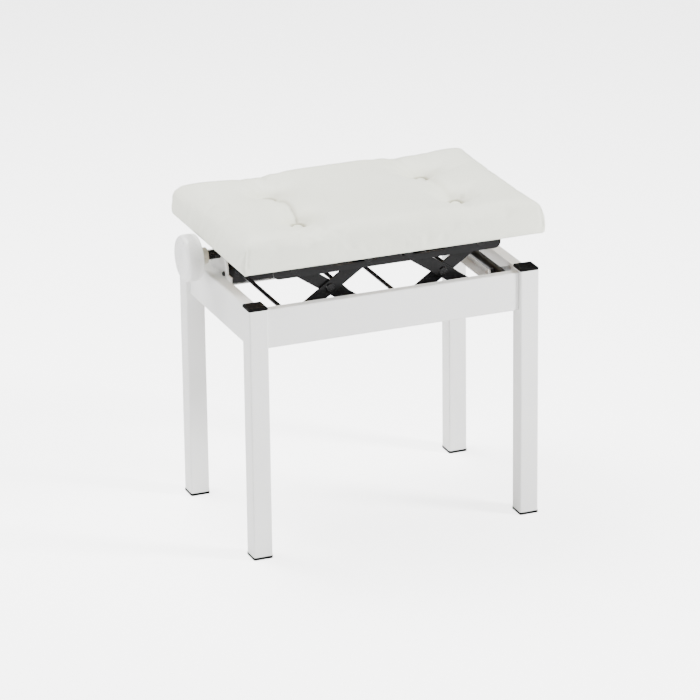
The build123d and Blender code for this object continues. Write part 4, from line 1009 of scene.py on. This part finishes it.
# ----------------------------------------------------------------------
# The turned-under hem: the leatherette folds round the foot of the pad and is stapled to the
# underside of the board. It is cut roughly and overlaps itself in a fold at each corner.
HEM_OUTER_GAP = 0.0045
HEM_LONG_IN = 0.1385
HEM_SHORT_IN = 0.2050
HEM_STEPS = 90
HEM_ROWS = 5
HEM_GAP = 0.0001
CUT_WAVER = 0.0009
CUT_SCALE = 55.0
MITRE_FOLD = 0.0007
MITRE_WIDTH = 0.0030
HEM_SAG = 0.00025
SAG_SCALE = 80.0
HEM_CORNERS = [(-1, -1), (1, -1), (1, 1), (-1, 1), (-1, -1)]
hem_x = PAD_HALF_X - HEM_OUTER_GAP
hem_y = PAD_HALF_Y - HEM_OUTER_GAP
hem_outer = []
hem_inner = []
for first, second in zip(HEM_CORNERS, HEM_CORNERS[1:]):
    for step in range(HEM_STEPS):
        share = step / HEM_STEPS
        plan_x = first[0] + (second[0] - first[0]) * share
        plan_y = first[1] + (second[1] - first[1]) * share
        inner_place = Vector((plan_x * HEM_SHORT_IN, plan_y * HEM_LONG_IN, PAD_FOOT - HEM_GAP))
        waver = noise.noise(inner_place * CUT_SCALE) * CUT_WAVER
        inward = Vector((-plan_x if abs(plan_x) > abs(plan_y) else 0.0,
                         -plan_y if abs(plan_y) >= abs(plan_x) else 0.0, 0.0))
        hem_outer.append(Vector((plan_x * hem_x, plan_y * hem_y, PAD_FOOT - HEM_GAP)))
        hem_inner.append(inner_place + inward * waver)
hem_work = bmesh.new()
hem_grid = []
for row in range(HEM_ROWS + 1):
    share = row / HEM_ROWS
    ring = []
    for outer_place, inner_place in zip(hem_outer, hem_inner):
        place = outer_place.lerp(inner_place, share)
        diagonal = abs(abs(place.x) - hem_x) - abs(abs(place.y) - hem_y)
        fold = math.exp(-(diagonal / MITRE_WIDTH) ** 2)
        sag = HEM_SAG * (1.0 + noise.noise(place * SAG_SCALE))
        place.z -= MITRE_FOLD * fold + sag
        ring.append(hem_work.verts.new(place))
    hem_grid.append(ring)
bridge_rings(hem_work, hem_grid)
bmesh.ops.recalc_face_normals(hem_work, faces=hem_work.faces)
cover_hem = finished("cover_hem", mesh_of("cover_hem", hem_work))
if cover_hem.data.polygons[0].normal.z > 0.0:
    cover_hem.data.flip_normals()
hem_wall = cover_hem.modifiers.new("hem_wall", "SOLIDIFY")
hem_wall.thickness = HEM_THICK
hem_wall.offset = 1.0
cover_hem.data.materials.append(leatherette)
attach(cover_hem, "seat")

# ----------------------------------------------------------------------
# The staples: fine steel wire staples that hold the hem to the board, a little uneven in their
# slant because they are shot by hand.
STAPLE_SPACING = 0.024
STAPLE_WIDTH = 0.0100
STAPLE_WIRE = 0.0011
STAPLE_INSET = 0.0035
STAPLE_MARGIN = 0.012
STAPLE_CORNER_GAP = 0.014
STAPLE_DROP = 0.0012
STAPLE_SLANT = 0.22
STAPLE_SEED = 11
staple_tree, entry, result = geometry_tree(
    "stapled_line", {"Spacing": 0.024, "Crown": 0.01, "Wire": 0.001, "Slant": 0.25, "Seed": 5})
staple_path = output_of(staple_tree, "GeometryNodeMeshToCurve", {"Mesh": entry["Geometry"]})
staple_spots = add_node(staple_tree, "GeometryNodeCurveToPoints",
                        {"Curve": staple_path, "Length": entry["Spacing"]}, mode="LENGTH")
half_crown = worked(staple_tree, "MULTIPLY", entry["Crown"], 0.5)
other_half = worked(staple_tree, "MULTIPLY", half_crown, -1.0)
leg_up = worked(staple_tree, "MULTIPLY", entry["Wire"], 1.6)
crown_low = worked(staple_tree, "MULTIPLY", entry["Wire"], -0.8)
staple_corner = {}
for label, along, upward in (("Start", other_half, leg_up),
                             ("Start Handle", other_half, crown_low),
                             ("End Handle", half_crown, crown_low),
                             ("End", half_crown, leg_up)):
    staple_corner[label] = output_of(staple_tree, "ShaderNodeCombineXYZ",
                                     {"X": along, "Z": upward})
bent_wire = output_of(staple_tree, "GeometryNodeCurvePrimitiveBezierSegment",
                      {"Resolution": 8, **staple_corner}, mode="POSITION")
staple_body = swept(staple_tree, bent_wire, 5, worked(staple_tree, "MULTIPLY", entry["Wire"], 0.5))
slant_low = worked(staple_tree, "MULTIPLY", entry["Slant"], -1.0)
slant = uneven(staple_tree, slant_low, entry["Slant"], entry["Seed"])
run_way = add_node(staple_tree, "ShaderNodeSeparateXYZ",
                   {"Vector": staple_spots.outputs["Tangent"]}).outputs
run_angle = worked(staple_tree, "ARCTAN2", run_way["Y"], run_way["X"])
staple_turn = output_of(staple_tree, "ShaderNodeCombineXYZ",
                        {"Z": worked(staple_tree, "ADD", run_angle, slant)})
staples_set = output_of(staple_tree, "GeometryNodeInstanceOnPoints",
                        {"Points": staple_spots.outputs["Points"],
                         "Instance": staple_body.outputs[0], "Rotation": staple_turn})
close_tree(staple_tree, entry, result, staples_set)
staple_x = board_high.x - STAPLE_MARGIN
staple_y = board_high.y - STAPLE_INSET
short_x = staple_x - STAPLE_CORNER_GAP
short_y = staple_y - STAPLE_CORNER_GAP
staple_z = PAD_FOOT - HEM_THICK - STAPLE_DROP
staple_ends = [(-short_x, -staple_y), (short_x, -staple_y), (staple_x, -short_y),
               (staple_x, short_y), (short_x, staple_y), (-short_x, staple_y),
               (-staple_x, short_y), (-staple_x, -short_y)]
hem_staples = grown("hem_staples", staple_tree,
                    {"Spacing": STAPLE_SPACING, "Crown": STAPLE_WIDTH, "Wire": STAPLE_WIRE,
                     "Slant": STAPLE_SLANT, "Seed": STAPLE_SEED, "Material": bright_zinc},
                    [(end_x, end_y, staple_z) for end_x, end_y in staple_ends],
                    [(0, 1), (2, 3), (4, 5), (6, 7)])
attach(hem_staples, "seat")
